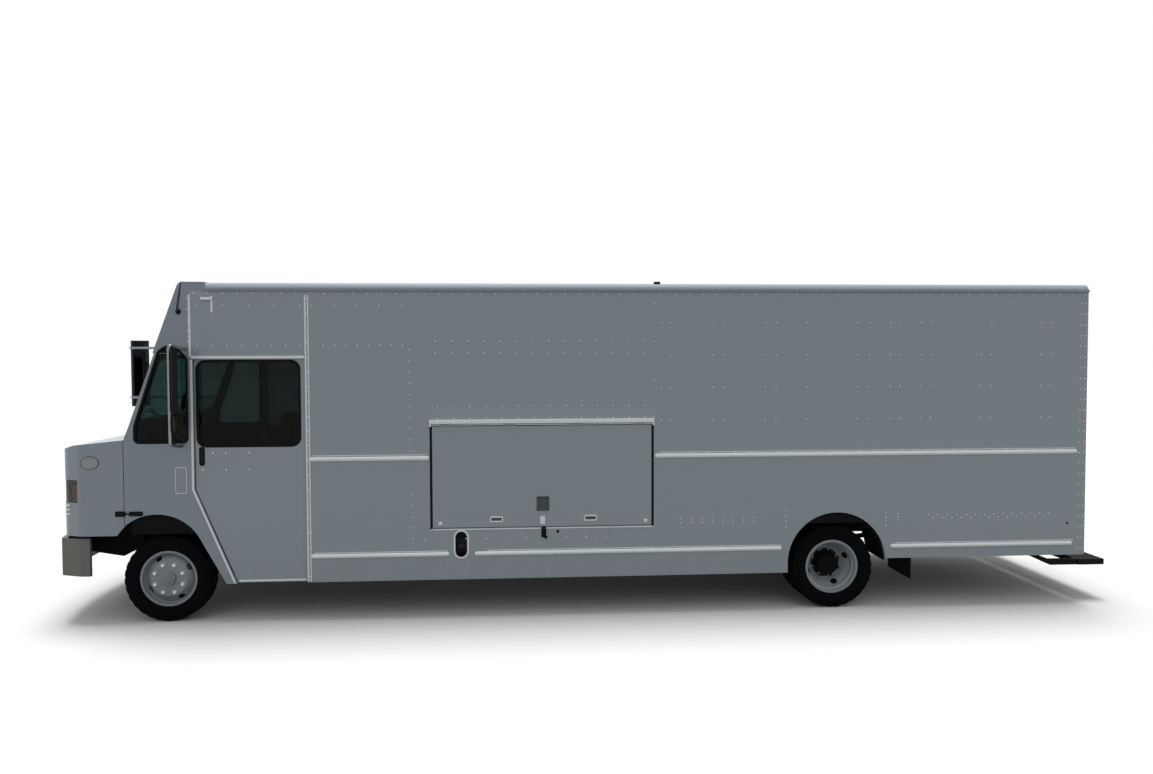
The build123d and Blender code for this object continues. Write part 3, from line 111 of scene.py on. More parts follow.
class VanColours(bpy.types.PropertyGroup):
    """Colours of the van's finishes."""

    # painted shade: the body and roof cap colours are light greys, darker than the real white paint, so that the van's
    # side reads as shaded; the cab and nose paints are copies of the body colour
    body: colour("Body", "Paint on the panels, doors and roof", (0.290, 0.342, 0.378))
    cap: colour("Roof Cap", "Paint on the moulded cap over the windshield", (0.290, 0.325, 0.352))
    bumper: colour("Bumper", "Paint on the front bumper", (0.200, 0.196, 0.178))
    wheel: colour("Wheels", "Paint on the disc wheels", (0.255, 0.285, 0.310))
    frame: colour("Frame", "Paint on the chassis and rear step", (0.016, 0.016, 0.018))
    rubber: colour("Rubber", "Window rubbers, flaps and seals", (0.010, 0.010, 0.011))
    tyre: colour("Tyres", "Tyre rubber", (0.0045, 0.005, 0.006))
    glass: colour("Glass", "Tint of the glass", (0.085, 0.170, 0.160))
    film: colour("Road Film", "Dust and road film low on the body", (0.150, 0.140, 0.120))
    amber: colour("Amber Lenses", "Front turn signals and marker lamps", (0.165, 0.072, 0.034))
    red: colour("Red Lenses", "Rear lamps", (0.42, 0.012, 0.012))
    seat: colour("Seat", "Vinyl on the driver's seat", (0.030, 0.030, 0.032))
    # painted shade: the near-black worn by undersides, wheel boxes and the inward and downward faces low on the body,
    # where shade falls
    painted_shade: colour("Hidden Faces", "Spray-darkened undersides and insides of the panels", (0.006, 0.006, 0.007))


class VanTrim(bpy.types.PropertyGroup):
    """Sizes of the van's trim."""

    rivet_radius: length("Rivet Radius", "Radius of a rivet's head", 0.0065)
    rivet_height: length("Rivet Height", "How far a rivet's head stands out", 0.0028)
    rubber_width: length("Window Rubber Width", "Width of the rubber round a window", 0.024)
    rubber_height: length("Window Rubber Height", "How far a window rubber stands out", 0.0045)
    moulding_width: length("Moulding Width", "Width of the pressed mouldings at the doorway", 0.028)
    moulding_height: length("Moulding Height", "How far a moulding stands out", 0.007)
    nut_across: length("Nut Size", "A wheel nut across its flats", 0.033)
    tread_depth: length("Tread Depth", "Depth of the tyres' grooves", 0.011)
    tread_pitches: IntProperty(
        name="Tread Pitches", description="Zigzags round a tyre's tread", default=60, min=24, max=96
    )


class VanStage(bpy.types.PropertyGroup):
    """The floor, the lights and the camera."""

    floor_radius: length("Floor Radius", "Radius of the floor", 90.0)
    floor: amount("Floor Tone", "Grey of the floor as the camera sees it", 0.78)
    bounce: amount("Floor Bounce", "Grey of the floor as it lights the body", 0.13)
    sun: amount("Overhead Light", "Strength of the wide light overhead", 2.6)
    sun_angle: amount("Overhead Angle", "Width of the overhead light", math.radians(28), subtype="ANGLE")
    sun_lean: amount(
        "Overhead Lean", "How far the overhead light leans from the far side", math.radians(9), subtype="ANGLE"
    )
    sky: amount("Sky", "Strength of the light from all round", 0.62)
    lens: amount("Lens", "Focal length on a 36 mm wide sensor, in mm", 28.1)
    camera: FloatVectorProperty(
        name="Camera", description="Place of the camera", default=(-0.7112, -9.8095, 2.5191), unit="LENGTH"
    )
    aim: FloatVectorProperty(
        name="Camera Aim", description="Turn, tilt and roll of the camera",
        default=(0.07047, -0.03713, -0.00281), subtype="EULER", unit="ROTATION",
    )


def settings():
    """The three groups of settings."""
    scene = bpy.context.scene
    return scene.van_colours, scene.van_trim, scene.van_stage


# ---------------------------------------------------------------- mesh helpers

FINISHES = {}  # every material by its name
WELD = 1e-6  # points closer than this are one


def new_object(name, data):
    """Adds an object to the scene."""
    made = bpy.data.objects.new(name, data)
    bpy.context.scene.collection.objects.link(made)
    return made


def as_mesh(name, shape):
    """Turns a built shape into a mesh."""
    mesh = bpy.data.meshes.new(name)
    shape.to_mesh(mesh)
    shape.free()
    return mesh


class Piece:
    """A mesh built in a with block; at its end it becomes a smooth-shaded object that rides on a body."""

    def __init__(self, name, finish, body="body", sharp=32.0):
        self.name, self.finish, self.body, self.sharp = name, finish, body, sharp
        self.shape = bmesh.new()

    def __enter__(self):
        return self.shape

    def __exit__(self, failure, *_):
        if failure:
            return
        bmesh.ops.recalc_face_normals(self.shape, faces=self.shape.faces)
        mesh = as_mesh(self.name, self.shape)
        mesh.polygons.foreach_set("use_smooth", [True] * len(mesh.polygons))
        mesh.set_sharp_from_angle(angle=math.radians(self.sharp))
        mesh.materials.append(FINISHES[self.finish])
        piece = self.piece = new_object(self.name, mesh)
        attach(piece, self.body)


def stitch(shape, rings, caps=False):
    """Joins closed rings of points into a skin, with a face over each end when caps is set."""
    rows = [[shape.verts.new(point) for point in ring] for ring in rings]
    count = len(rows[0])
    for low, high in zip(rows, rows[1:]):
        for i in range(count):
            j = (i + 1) % count
            shape.faces.new((low[i], low[j], high[j], high[i]))
    if caps:
        shape.faces.new(rows[0])
        shape.faces.new(list(reversed(rows[-1])))
    return rows


def add_block(shape, centre, size, bevel=0.0, turn=None, segments=2):
    """A box with rounded edges, turned about its centre."""
    made = bmesh.ops.create_cube(shape, size=1.0)["verts"]
    bmesh.ops.scale(shape, vec=Vector(size), verts=made)
    if bevel:
        edges = list(dict.fromkeys(edge for vert in made for edge in vert.link_edges))
        result = bmesh.ops.bevel(shape, geom=edges, offset=bevel, segments=segments, profile=0.5, affect="EDGES")
        made = list({vert for face in result["faces"] for vert in face.verts} | {v for v in made if v.is_valid})
    matrix = Matrix.Translation(centre) @ (turn.to_4x4() if turn else Matrix.Identity(4))
    bmesh.ops.transform(shape, matrix=matrix, verts=made)


def circle(centre, across, up, radius, steps):
    """Points round a circle, or round an ellipse where across and up differ in length."""
    turns = (math.tau * k / steps for k in range(steps))
    return [centre + across * (radius * math.cos(a)) + up * (radius * math.sin(a)) for a in turns]


def frame_of(axis):
    """An axis and two directions square to it."""
    axis = Vector(axis).normalized()
    across = axis.orthogonal().normalized()
    return axis, across, axis.cross(across)


def add_turned(shape, centre, axis, profile, steps=24, caps=True):
    """A turned form: profile rows are (distance along the axis, radius)."""
    axis, across, up = frame_of(axis)
    rings = [circle(Vector(centre) + axis * along, across, up, radius, steps) for along, radius in profile]
    stitch(shape, rings, caps=caps)


def bends(points):
    """Each point of a path with the way into it and the mean way through it."""
    for i, point in enumerate(points):
        before = (point - points[i - 1] if i else points[1] - point).normalized()
        after = (points[i + 1] - point).normalized() if i + 1 < len(points) else before
        yield point, before, (before + after).normalized()


def add_tube(shape, points, radius, steps=10):
    """A round bar through a few points, with closed ends."""
    rings, across = [], None
    for point, before, along in bends([Vector(p) for p in points]):
        across = (across - along * across.dot(along) if across else along.orthogonal()).normalized()
        rings.append(circle(point, across, along.cross(across), radius / max(0.4, along.dot(before)), steps))
    stitch(shape, rings, caps=True)


def rounded(corners, radius, steps=6):
    """A closed outline with rounded corners, anticlockwise as given."""
    outline = []
    count = len(corners)
    for i, corner in enumerate(corners):
        here = Vector(corner)
        back = (Vector(corners[i - 1]) - here).normalized()
        ahead = (Vector(corners[(i + 1) % count]) - here).normalized()
        half = math.acos(max(-1.0, min(1.0, back.dot(ahead)))) / 2
        reach = radius / math.tan(half)
        centre = here + (back + ahead).normalized() * (radius / math.sin(half))
        first, last = here + back * reach - centre, here + ahead * reach - centre
        swing = first.angle_signed(last) if first.length > 1e-9 else 0.0
        for k in range(steps + 1):
            cos, sin = math.cos(-swing * k / steps), math.sin(-swing * k / steps)
            outline.append(centre + Vector((first.x * cos - first.y * sin, first.x * sin + first.y * cos)))
    return outline


def rounded_box(u, v, across, tall, radius, steps=6):
    """A rectangle's outline about its centre, with rounded corners."""
    corners = ((-0.5, -0.5), (0.5, -0.5), (0.5, 0.5), (-0.5, 0.5))
    return rounded([(u + across * a, v + tall * b) for a, b in corners], radius, steps)


def add_band(shape, outline, section, place):
    """Sweeps a section of (outward offset, height) rows round a closed outline; place(u, v, height) gives a point."""
    count = len(outline)
    area = sum(outline[i - 1].cross(outline[i]) for i in range(count))
    outward = 1.0 if area > 0 else -1.0
    rings = [[] for _ in section]
    for i, point in enumerate(outline):
        along = outline[(i + 1) % count] - outline[i - 1]
        if along.length < 1e-9:
            along = outline[(i + 2) % count] - outline[i - 1]
        normal = Vector((along.y, -along.x)).normalized() * outward
        for ring, (offset, height) in zip(rings, section):
            spot = point + normal * offset
            ring.append(place(spot.x, spot.y, height))
    stitch(shape, rings)


def add_dome(shape, point, normal, radius, height, steps=8):
    """A rivet's head on a surface."""
    axis, across, up = frame_of(normal)
    rows = ((1.0, -0.0002), (0.8, height * 0.62), (0.38, height))
    rings = [circle(Vector(point) + axis * rise, across, up, radius * share, steps) for share, rise in rows]
    shape.faces.new(stitch(shape, rings)[-1])


STRIP = ((-0.5, 0.45), (-0.36, 0.9), (0.0, 1.0), (0.36, 0.9), (0.5, 0.45))  # shares of a strip's width and height


def add_strip(shape, side, path, width, height, root=0.004, base=0.0):
    """A raised strip on a flat side of the body, along a path of (station, height) rows."""
    out = Vector((0, side, 0))
    section = [(-0.5, -root), *((share, height * rise) for share, rise in STRIP), (0.5, -root)]
    rings = []
    for point, before, along in bends([beside(side, *spot, base) for spot in path]):
        across = along.cross(out).normalized() / max(0.5, along.dot(before))
        rings.append([point + across * (width * share) + out * rise for share, rise in section])
    stitch(shape, rings, caps=True)


def add_plate(shape, side, station, z, across, tall, thick, corner=0.006):
    """A flat plate with rounded corners and a softened edge on the body's side."""
    centre = Vector((station, z))
    soft = min(0.002, thick * 0.5)
    rows = []
    for inset, out in ((0.0, -0.001), (0.0, thick - soft), (soft, thick)):
        pulled = [
            point + (centre - point) * (inset / (centre - point).length)
            for point in rounded_box(station, z, across, tall, corner, 4)
        ]
        rows.append([beside(side, *point, out) for point in pulled])
    stitch(shape, rows, caps=True)


def add_frame(shape, side, station, z, across, tall, rim, thick, corner=0.008):
    """A flat rim with an open middle on the body's side."""
    section = [(0.0, -0.001), (0.0, thick * 0.7), (-0.0015, thick), (-rim + 0.002, thick), (-rim, -0.001)]
    add_band(shape, rounded_box(station, z, across, tall, corner, 4), section, on_side(side))


def cast(node_name, start, direction):
    """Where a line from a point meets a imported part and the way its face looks, or nothing."""
    found, place, facing, _ = frame["nodes"][node_name].ray_cast(Vector(start), Vector(direction))
    return (place, facing) if found else None


def touch(node_name, start, direction):
    """Like cast, for a line that has to meet the part."""
    met = cast(node_name, start, direction)
    if not met:
        raise RuntimeError(f"{node_name} is not in line with {tuple(start)}")
    return met


# ---------------------------------------------------------------- shader helpers

GROUPS = {}  # the effects that several finishes share


def wire(tree, made, sockets):
    """Sets a node's sockets; each takes a number, a colour or another node's output."""
    for socket, value in sockets.items():
        if isinstance(value, bpy.types.NodeSocket):
            tree.links.new(value, made.inputs[socket])
        else:
            made.inputs[socket].default_value = value
    return made


def node(tree, kind, sockets=None, **traits):
    """Adds a shader node."""
    made = tree.nodes.new("ShaderNode" + kind)
    for trait, value in traits.items():
        setattr(made, trait, value)
    return wire(tree, made, sockets or {})


def mix_colour(tree, factor, a, b):
    """A colour mix; returns its output."""
    return node(tree, "Mix", {0: factor, 6: a, 7: b}, data_type="RGBA").outputs[2]


def maths(tree, operation, *values):
    """A math node; returns its output."""
    return node(tree, "Math", dict(enumerate(values)), operation=operation).outputs[0]


def vectors(tree, operation, *values):
    """A vector math node; returns its outputs."""
    return node(tree, "VectorMath", dict(enumerate(values)), operation=operation).outputs


def split(tree, vector):
    """The X, Y and Z of a vector."""
    return node(tree, "SeparateXYZ", {0: vector}).outputs


def object_place(tree):
    """The place in the object."""
    return node(tree, "TexCoord").outputs["Object"]


def noise(tree, place, scale, detail=2.0, rough=0.5):
    """Noise from a place in the object; returns its factor."""
    sockets = {"Vector": place, "Scale": scale, "Detail": detail, "Roughness": rough}
    return node(tree, "TexNoise", sockets).outputs["Fac"]


def graded(tree, value, low, high, to_low=0.0, to_high=1.0):
    """Maps a value from one range to another, clamped."""
    sockets = {"Value": value, "From Min": low, "From Max": high, "To Min": to_low, "To Max": to_high}
    return node(tree, "MapRange", sockets).outputs[0]


def stretched(tree, place, scale):
    """A place stretched by a scale along each axis."""
    return node(tree, "Mapping", {"Vector": place, "Scale": scale}).outputs[0]


def ribbed(tree, place, scale, direction):
    """Fine ribs across one axis."""
    sockets = {"Vector": place, "Scale": scale, "Distortion": 0.0}
    return node(tree, "TexWave", sockets, bands_direction=direction).outputs["Fac"]


def new_group(effect, name, inputs, outputs):
    """Starts a shared effect. An input gives its default number or its socket type, an output its socket type."""
    group = GROUPS[effect] = bpy.data.node_groups.new(name, "ShaderNodeTree")
    for label, value in inputs.items():
        kind = value if isinstance(value, str) else "Float"
        socket = group.interface.new_socket(name=label, in_out="INPUT", socket_type="NodeSocket" + kind)
        if kind == "Float":
            socket.default_value = value
    for label, kind in outputs.items():
        group.interface.new_socket(name=label, in_out="OUTPUT", socket_type="NodeSocket" + kind)
    return group, group.nodes.new("NodeGroupInput").outputs


def put_out(group, **values):
    """Joins values to the outputs of a shared effect."""
    wire(group, group.nodes.new("NodeGroupOutput"), values)


def use_group(tree, effect, **sockets):
    """Places a shared effect; returns its outputs."""
    return node(tree, "Group", sockets, node_tree=GROUPS[effect]).outputs


def build_groups():
    """Makes the shared effects."""
    # dust and spray that gathers low on the body and fades upwards
    group, source = new_group(
        "film", "Road_Film", {"Colour": "Color", "Film": "Color", "Amount": 0.5, "Top": 1.2},
        {"Colour": "Color", "Mask": "Float"},
    )
    place = object_place(group)
    streaks = stretched(group, place, (1.0, 1.0, 0.22))
    cloud = maths(group, "ADD", noise(group, streaks, 3.2, 5.0, 0.62), noise(group, streaks, 21.0, 3.0, 0.6))
    edge = maths(group, "MULTIPLY", source["Top"], maths(group, "ADD", cloud, -0.35))
    fade = graded(group, maths(group, "DIVIDE", split(group, place)["Z"], edge), 0.15, 1.0, 1.0, 0.0)
    mask = maths(group, "MULTIPLY", fade, source["Amount"])
    mask = maths(group, "MULTIPLY", mask, graded(group, cloud, 0.7, 1.3, 0.45, 1.0))
    put_out(group, Colour=mix_colour(group, mask, source["Colour"], source["Film"]), Mask=mask)

    # the slight waviness of thin sheet between its rivets, and the skin of sprayed paint
    group, source = new_group("ripple", "Sheet_Ripple", {"Wave": 1.0, "Peel": 1.0}, {"Height": "Float"})
    place = object_place(group)
    wave = maths(group, "MULTIPLY", noise(group, place, 1.7, 1.5, 0.4), source["Wave"])
    skin = maths(group, "MULTIPLY", source["Peel"], 0.012)
    skin = maths(group, "MULTIPLY", noise(group, place, 420.0, 1.0, 0.5), skin)
    put_out(group, Height=maths(group, "ADD", wave, skin))

    # grain of rubber, vinyl and moulded plastic
    group, source = new_group("grain", "Moulded_Grain", {"Size": 300.0}, {"Height": "Float", "Tone": "Float"})
    place = object_place(group)
    cells = node(group, "TexVoronoi", {"Vector": place, "Scale": source["Size"]}).outputs["Distance"]
    height = maths(group, "ADD", cells, noise(group, place, 90.0, 4.0, 0.6))
    put_out(group, Height=height, Tone=noise(group, place, 9.0, 5.0, 0.65))

    # edges rounded in the shading, as folded sheet and castings have
    group, source = new_group("edge", "Soft_Edge", {"Radius": 0.002}, {"Normal": "Vector"})
    put_out(group, Normal=node(group, "Bevel", {"Radius": source["Radius"]}, samples=4).outputs[0])

    # painted shade: masks of faces that look inward, and of those that look inward or down below a height
    group, source = new_group("painted_shade", "Painted_Shade_Side", {"Top": 1.1}, {"Mask": "Float", "Inward": "Float"})
    coords = node(group, "TexCoord").outputs
    place, facing = split(group, coords["Object"]), split(group, coords["Normal"])
    outward = maths(group, "MULTIPLY", maths(group, "SIGN", place["Y"]), facing["Y"])
    inward = maths(group, "LESS_THAN", outward, -0.4)
    turned_in = maths(group, "MAXIMUM", inward, maths(group, "LESS_THAN", facing["Z"], -0.35))
    low = maths(group, "LESS_THAN", place["Z"], source["Top"])
    put_out(group, Mask=maths(group, "MULTIPLY", turned_in, low), Inward=inward)

    # a box-shaped patch of a part
    group, source = new_group("patch", "Patch", {"Centre": "Vector", "Size": "Vector"}, {"Mask": "Float"})
    away = vectors(group, "SUBTRACT", object_place(group), source["Centre"])[0]
    away = vectors(group, "ABSOLUTE", away)[0]
    half = vectors(group, "MULTIPLY", source["Size"], (0.5, 0.5, 0.5))[0]
    spare = split(group, vectors(group, "SUBTRACT", half, away)[0])
    least = maths(group, "MINIMUM", maths(group, "MINIMUM", spare["X"], spare["Y"]), spare["Z"])
    put_out(group, Mask=maths(group, "GREATER_THAN", least, 0.0))

    # a ring round a wheel's axle, on what stands further out than a given distance
    group, source = new_group(
        "ring", "Wheel_Ring", {"Axle": "Vector", "Inner": 0.0, "Outer": 0.1, "Out": 0.0}, {"Mask": "Float"}
    )
    place = object_place(group)
    flat = vectors(group, "MULTIPLY", vectors(group, "SUBTRACT", place, source["Axle"])[0], (1.0, 0.0, 1.0))[0]
    radius = vectors(group, "LENGTH", flat)["Value"]
    beyond = maths(group, "GREATER_THAN", radius, source["Inner"])
    ring = maths(group, "MULTIPLY", beyond, maths(group, "LESS_THAN", radius, source["Outer"]))
    out = maths(group, "ABSOLUTE", split(group, place)["Y"])
    put_out(group, Mask=maths(group, "MULTIPLY", ring, maths(group, "GREATER_THAN", out, source["Out"])))

    # scuffs and handling marks
    group, source = new_group("scuffs", "Scuffs", {"Amount": 0.3}, {"Mask": "Float"})
    drawn = stretched(group, object_place(group), (1.0, 3.0, 2.0))
    marks = graded(group, noise(group, drawn, 14.0, 8.0, 0.72), 0.55, 0.75)
    put_out(group, Mask=maths(group, "MULTIPLY", marks, source["Amount"]))


def blank(name):
    """Starts a finish; returns its node tree and its Principled shader."""
    material = FINISHES[name] = bpy.data.materials.new(name)
    material.use_nodes = True
    return material.node_tree, material.node_tree.nodes["Principled BSDF"]


def rgba(base):
    """A colour with full alpha."""
    return (*base[:3], 1.0)


def scaled(base, *shares):
    """A colour times one share, or times a share for each channel."""
    return [c * share for c, share in zip(base, shares * 3)]


def relief(tree, height, edge, strength, distance):
    """The normal of soft edges and of a relief."""
    soft = use_group(tree, "edge", Radius=edge)["Normal"]
    sockets = {"Height": height, "Normal": soft, "Strength": strength, "Distance": distance}
    return node(tree, "Bump", sockets).outputs[0]


def painted(name, base, film_colour=None, roughness=0.32, coat=0.25, film=0.35, film_top=1.1, wave=1.0, peel=1.0,
            edge=0.0025, metallic=0.0, specular=0.5, painted_shade=0.0, inward_shade=None, patches=(), ring=None):
    """Sprayed paint or bare metal with film low down, a ripple in the sheet and soft edges.

    Of the last keywords, the first is the height below which inward and downward faces wear the near-black of
    painted shade, the next is the painted shade colour of inward faces, patches are (centre, size, colour) and
    ring is (axle, outer radius, colour).
    """
    colours = settings()[0]
    tree, shader = blank(name)
    film_colour = rgba(film_colour or colours.film)
    filmed = use_group(tree, "film", Colour=rgba(base), Film=film_colour, Amount=film, Top=film_top)
    scuffs = use_group(tree, "scuffs", Amount=0.12)["Mask"]
    worn = mix_colour(tree, scuffs, filmed["Colour"], rgba(scaled(base, 0.62)))
    dull = maths(tree, "MULTIPLY_ADD", filmed["Mask"], 0.45, roughness)
    if ring:
        axle, outer, shade = ring
        mask = use_group(tree, "ring", Axle=axle, Inner=0.0, Outer=outer, Out=0.0)["Mask"]
        worn = mix_colour(tree, mask, worn, rgba(shade))
    for centre, size, shade in patches:
        worn = mix_colour(tree, use_group(tree, "patch", Centre=centre, Size=size)["Mask"], worn, rgba(shade))
    if inward_shade:
        worn = mix_colour(tree, use_group(tree, "painted_shade")["Inward"], worn, rgba(inward_shade))
    if painted_shade:
        mask = use_group(tree, "painted_shade", Top=painted_shade)["Mask"]
        worn = mix_colour(tree, mask, worn, rgba(colours.painted_shade))
        dull = maths(tree, "MULTIPLY_ADD", mask, 0.4, dull)
    height = use_group(tree, "ripple", Wave=wave, Peel=peel)["Height"]
    wire(tree, shader, {
        "Base Color": worn, "Roughness": maths(tree, "MULTIPLY_ADD", scuffs, 0.3, dull), "Metallic": metallic,
        "Specular IOR Level": specular, "Coat Weight": coat, "Coat Roughness": 0.12,
        "Normal": relief(tree, height, edge, 0.55, 0.0016),
    })


def moulded(name, base, roughness=0.6, grain=300.0, depth=0.0004, dust=0.25, specular=0.4, edge=0.0015):
    """Rubber, vinyl or moulded plastic with grain and a little dust."""
    tree, shader = blank(name)
    grains = use_group(tree, "grain", Size=grain)
    pale = [c * 1.7 + 0.003 for c in base]
    dusty = maths(tree, "MULTIPLY", graded(tree, grains["Tone"], 0.4, 0.75), dust)
    wire(tree, shader, {
        "Base Color": mix_colour(tree, dusty, rgba(base), rgba(pale)), "Specular IOR Level": specular,
        "Roughness": maths(tree, "MULTIPLY_ADD", dusty, 0.35, roughness),
        "Normal": relief(tree, grains["Height"], edge, 0.5, depth),
    })


def polished(name, base, roughness=0.12):
    """Bright plated or polished metal."""
    tree, shader = blank(name)
    scuffs = use_group(tree, "scuffs", Amount=0.5)["Mask"]
    wire(tree, shader, {
        "Base Color": rgba(base), "Metallic": 1.0, "Roughness": maths(tree, "MULTIPLY_ADD", scuffs, 0.35, roughness),
        "Normal": use_group(tree, "edge", Radius=0.001)["Normal"],
    })


def glazed(name, tint):
    """Tinted glass with a faint smear."""
    tree, shader = blank(name)
    smear = graded(tree, noise(tree, object_place(tree), 6.0, 6.0, 0.6), 0.45, 0.8)
    smeared = mix_colour(tree, maths(tree, "MULTIPLY", smear, 0.12), rgba(tint), (0.30, 0.33, 0.33, 1.0))
    wire(tree, shader, {
        "Base Color": smeared, "Roughness": maths(tree, "MULTIPLY_ADD", smear, 0.04, 0.01),
        "Transmission Weight": 1.0, "IOR": 1.17, "Specular IOR Level": 0.06,
    })


def lens(name, base):
    """A coloured lamp lens with fine ribs behind its face."""
    tree, shader = blank(name)
    ribs = ribbed(tree, object_place(tree), 260.0 / 6.0, "Y")
    wire(tree, shader, {
        "Base Color": mix_colour(tree, ribs, rgba(base), rgba(scaled(base, 0.55))), "Roughness": 0.18,
        "Transmission Weight": 0.25, "Coat Weight": 0.6, "Normal": relief(tree, ribs, 0.002, 0.3, 0.0008),
    })


BOWL = (0.985, 1.252, 0.082)  # a headlamp bowl's distance out, height and radius
TURN_SIGNAL = ((at(-0.760), 1.160, 1.236), (0.130, 0.200, 0.142))  # centre and size of the amber part


def lamp_unit(name, amber):
    """A wrap-round headlamp: a bowl of painted reflection rings round a bulb at the front, amber turn signal at its
    rear end.
    """
    tree, shader = blank(name)
    place = object_place(tree)
    spot = split(tree, place)
    across = maths(tree, "ADD", maths(tree, "ABSOLUTE", spot["Y"]), -BOWL[0])
    rise = maths(tree, "ADD", spot["Z"], -BOWL[1])
    squares = [maths(tree, "MULTIPLY", way, way) for way in (across, rise)]
    reach = maths(tree, "SQRT", maths(tree, "ADD", *squares))
    # the bowl's grey with rings of darker grey is painted reflection, standing for a metal reflector
    shells = maths(tree, "ABSOLUTE", maths(tree, "SINE", maths(tree, "MULTIPLY", reach, 150.0)))
    bowl = mix_colour(tree, shells, (0.085, 0.080, 0.076, 1.0), (0.018, 0.017, 0.016, 1.0))
    rim = maths(tree, "COMPARE", reach, BOWL[2], 0.006)
    tint = mix_colour(tree, rim, bowl, (0.012, 0.012, 0.012, 1.0))
    ribs = ribbed(tree, place, 34.0, "X")
    (x, y, z), size = TURN_SIGNAL
    for side in SIDES.values():
        mask = use_group(tree, "patch", Centre=(x, side * y, z), Size=size)["Mask"]
        tint = mix_colour(tree, mask, tint, mix_colour(tree, ribs, rgba(amber), rgba(scaled(amber, 0.6))))
    wire(tree, shader, {
        "Base Color": tint, "Roughness": 0.25, "Specular IOR Level": 0.2, "Coat Weight": 0.08,
        "Normal": relief(tree, maths(tree, "MULTIPLY_ADD", shells, 0.6, ribs), 0.003, 0.35, 0.001),
    })


FILLER = (2.752, 0.702)  # station and height of the fuel filler


def build_finishes():
    """Makes every finish once."""
    colours = settings()[0]
    dark, body, wheel = colours.painted_shade, colours.body, colours.wheel
    grease_and_shade, inward_shade, pressed = (0.003, 0.0035, 0.004), (0.030, 0.032, 0.032), (0.86, 0.90, 0.92)
    # painted shade: inward faces of the body's panels, the cab and the cap wear a dark grey, and the hood's inward
    # faces wear the near-black, standing for the dark inside of the van
    panel = dict(painted_shade=1.12, inward_shade=inward_shade)
    bare = dict(coat=0.0, wave=0.0)
    # body, roof, cab and nose paints start from the body colour, a grey that holds part of the side's shade as painted
    # shade
    painted("body_paint", body, film=0.18, **panel)
    painted("roof_paint", body, roughness=0.52, coat=0.0, film=0.0, specular=0.3, **panel)
    painted("cab_paint", scaled(body, 0.84, 0.87, 0.90), film=0.10, wave=0.625, **panel)
    painted("nose_paint", scaled(body, 0.89, 0.90, 0.93), roughness=0.30, film=0.10, wave=0.625, painted_shade=1.12,
            inward_shade=dark)
    painted("cap_paint", scaled(colours.cap, 0.80, 0.86, 0.93), roughness=0.36, wave=0.625, film=0.0, inward_shade=inward_shade)
    # near-white rails, lips, mouldings, strips, fittings and rivets, lighter than the grey body paint: partly their
    # real white, partly painted highlight along their tops and edges
    painted("rail_paint_highlight", pressed, roughness=0.22, coat=0.5, wave=0.0, film=0.08)
    painted("bumper_paint", scaled(colours.bumper, 0.62), roughness=0.5, coat=0.1, film=0.3, edge=0.006, painted_shade=1.0)
    painted("trim_metal", pressed, roughness=0.30, coat=0.3, film=0.1, wave=0.0, metallic=0.1)
    station, z = FILLER
    painted("filler_cup", (0.004, 0.004, 0.005), roughness=0.6, film=0.0, specular=0.1, **bare, patches=[
        ((at(station), -HALF_WIDTH - 0.05, z), (0.4, 0.0996, 0.4), body),
        ((at(station), -HALF_WIDTH + 0.04, z), (0.078, 0.06, 0.078), (0.030, 0.031, 0.032)),
    ])
    # painted shade: the floor's underside and its wheel boxes wear the near-black in box-shaped patches
    painted("floor_plate", (0.10, 0.10, 0.105), roughness=0.6, coat=0.0, film=0.2, specular=0.06, patches=[
        ((0.0, 0.0, 0.450), (12.0, 4.0, 1.040), dark),
        ((FRONT_AXLE_X, 0.0, 0.600), (1.2, 4.0, 1.000), dark),
        ((REAR_AXLE_X, 0.0, 0.600), (1.3, 4.0, 0.800), dark),
    ])
    painted("inner_paint", (0.045, 0.047, 0.047), roughness=0.5, coat=0.0, film=0.0, specular=0.2)
    painted("frame_paint", scaled(colours.frame, 0.4), (0.010, 0.009, 0.008), roughness=0.6, film_top=1.6, peel=4.0,
            specular=0.10, **bare)
    painted("cast_iron", (0.006, 0.006, 0.007), (0.014, 0.012, 0.010), roughness=0.65, film=0.4, film_top=1.4,
            peel=9.0, specular=0.12, **bare)
    painted("engine_paint", (0.012, 0.012, 0.014), (0.016, 0.014, 0.012), roughness=0.65, film=0.4, film_top=1.6,
            peel=8.0, specular=0.12, **bare)
    painted("tank_sheet", (0.035, 0.035, 0.038), roughness=0.5, coat=0.0, metallic=0.4, film=0.2, specular=0.2)
    painted("exhaust_steel", (0.045, 0.038, 0.032), (0.05, 0.028, 0.016), roughness=0.55, metallic=0.5, film=0.6,
            peel=3.0, **bare)
    # the wheels' inward faces wear a near-black of painted shade; the rear wheels' centre inside the stud ring wears
    # it too, partly grease and partly painted shade deep in the dish
    rim = dict(coat=0.05, film_top=0.9, wave=0.0, edge=0.004, inward_shade=grease_and_shade)
    painted("front_wheel_paint", scaled(wheel, 1.05), (0.11, 0.105, 0.095), roughness=0.40, film=0.2, **rim)
    # front and rear wheels are one paint; the rear copy at 1.5 times against the front's 1.05 is painted light
    painted("rear_wheel_paint", scaled(wheel, 1.5), (0.16, 0.155, 0.145), roughness=0.42, film=0.3, specular=0.08,
            ring=((REAR_AXLE_X, 0.0, AXLE_Z), 0.146, grease_and_shade), **rim)
    painted("hub_paint", scaled(wheel, 0.8), roughness=0.4, coat=0.05, film=0.1, wave=0.0, edge=0.002)
    painted("badge_metal", (0.22, 0.245, 0.26), roughness=0.35, coat=0.2, film=0.1, wave=0.0, metallic=0.3)
    polished("nut_steel", (0.42, 0.44, 0.45), 0.3)
    polished("plated", (0.62, 0.63, 0.64))
    polished("arm_steel", (0.20, 0.21, 0.22), 0.35)
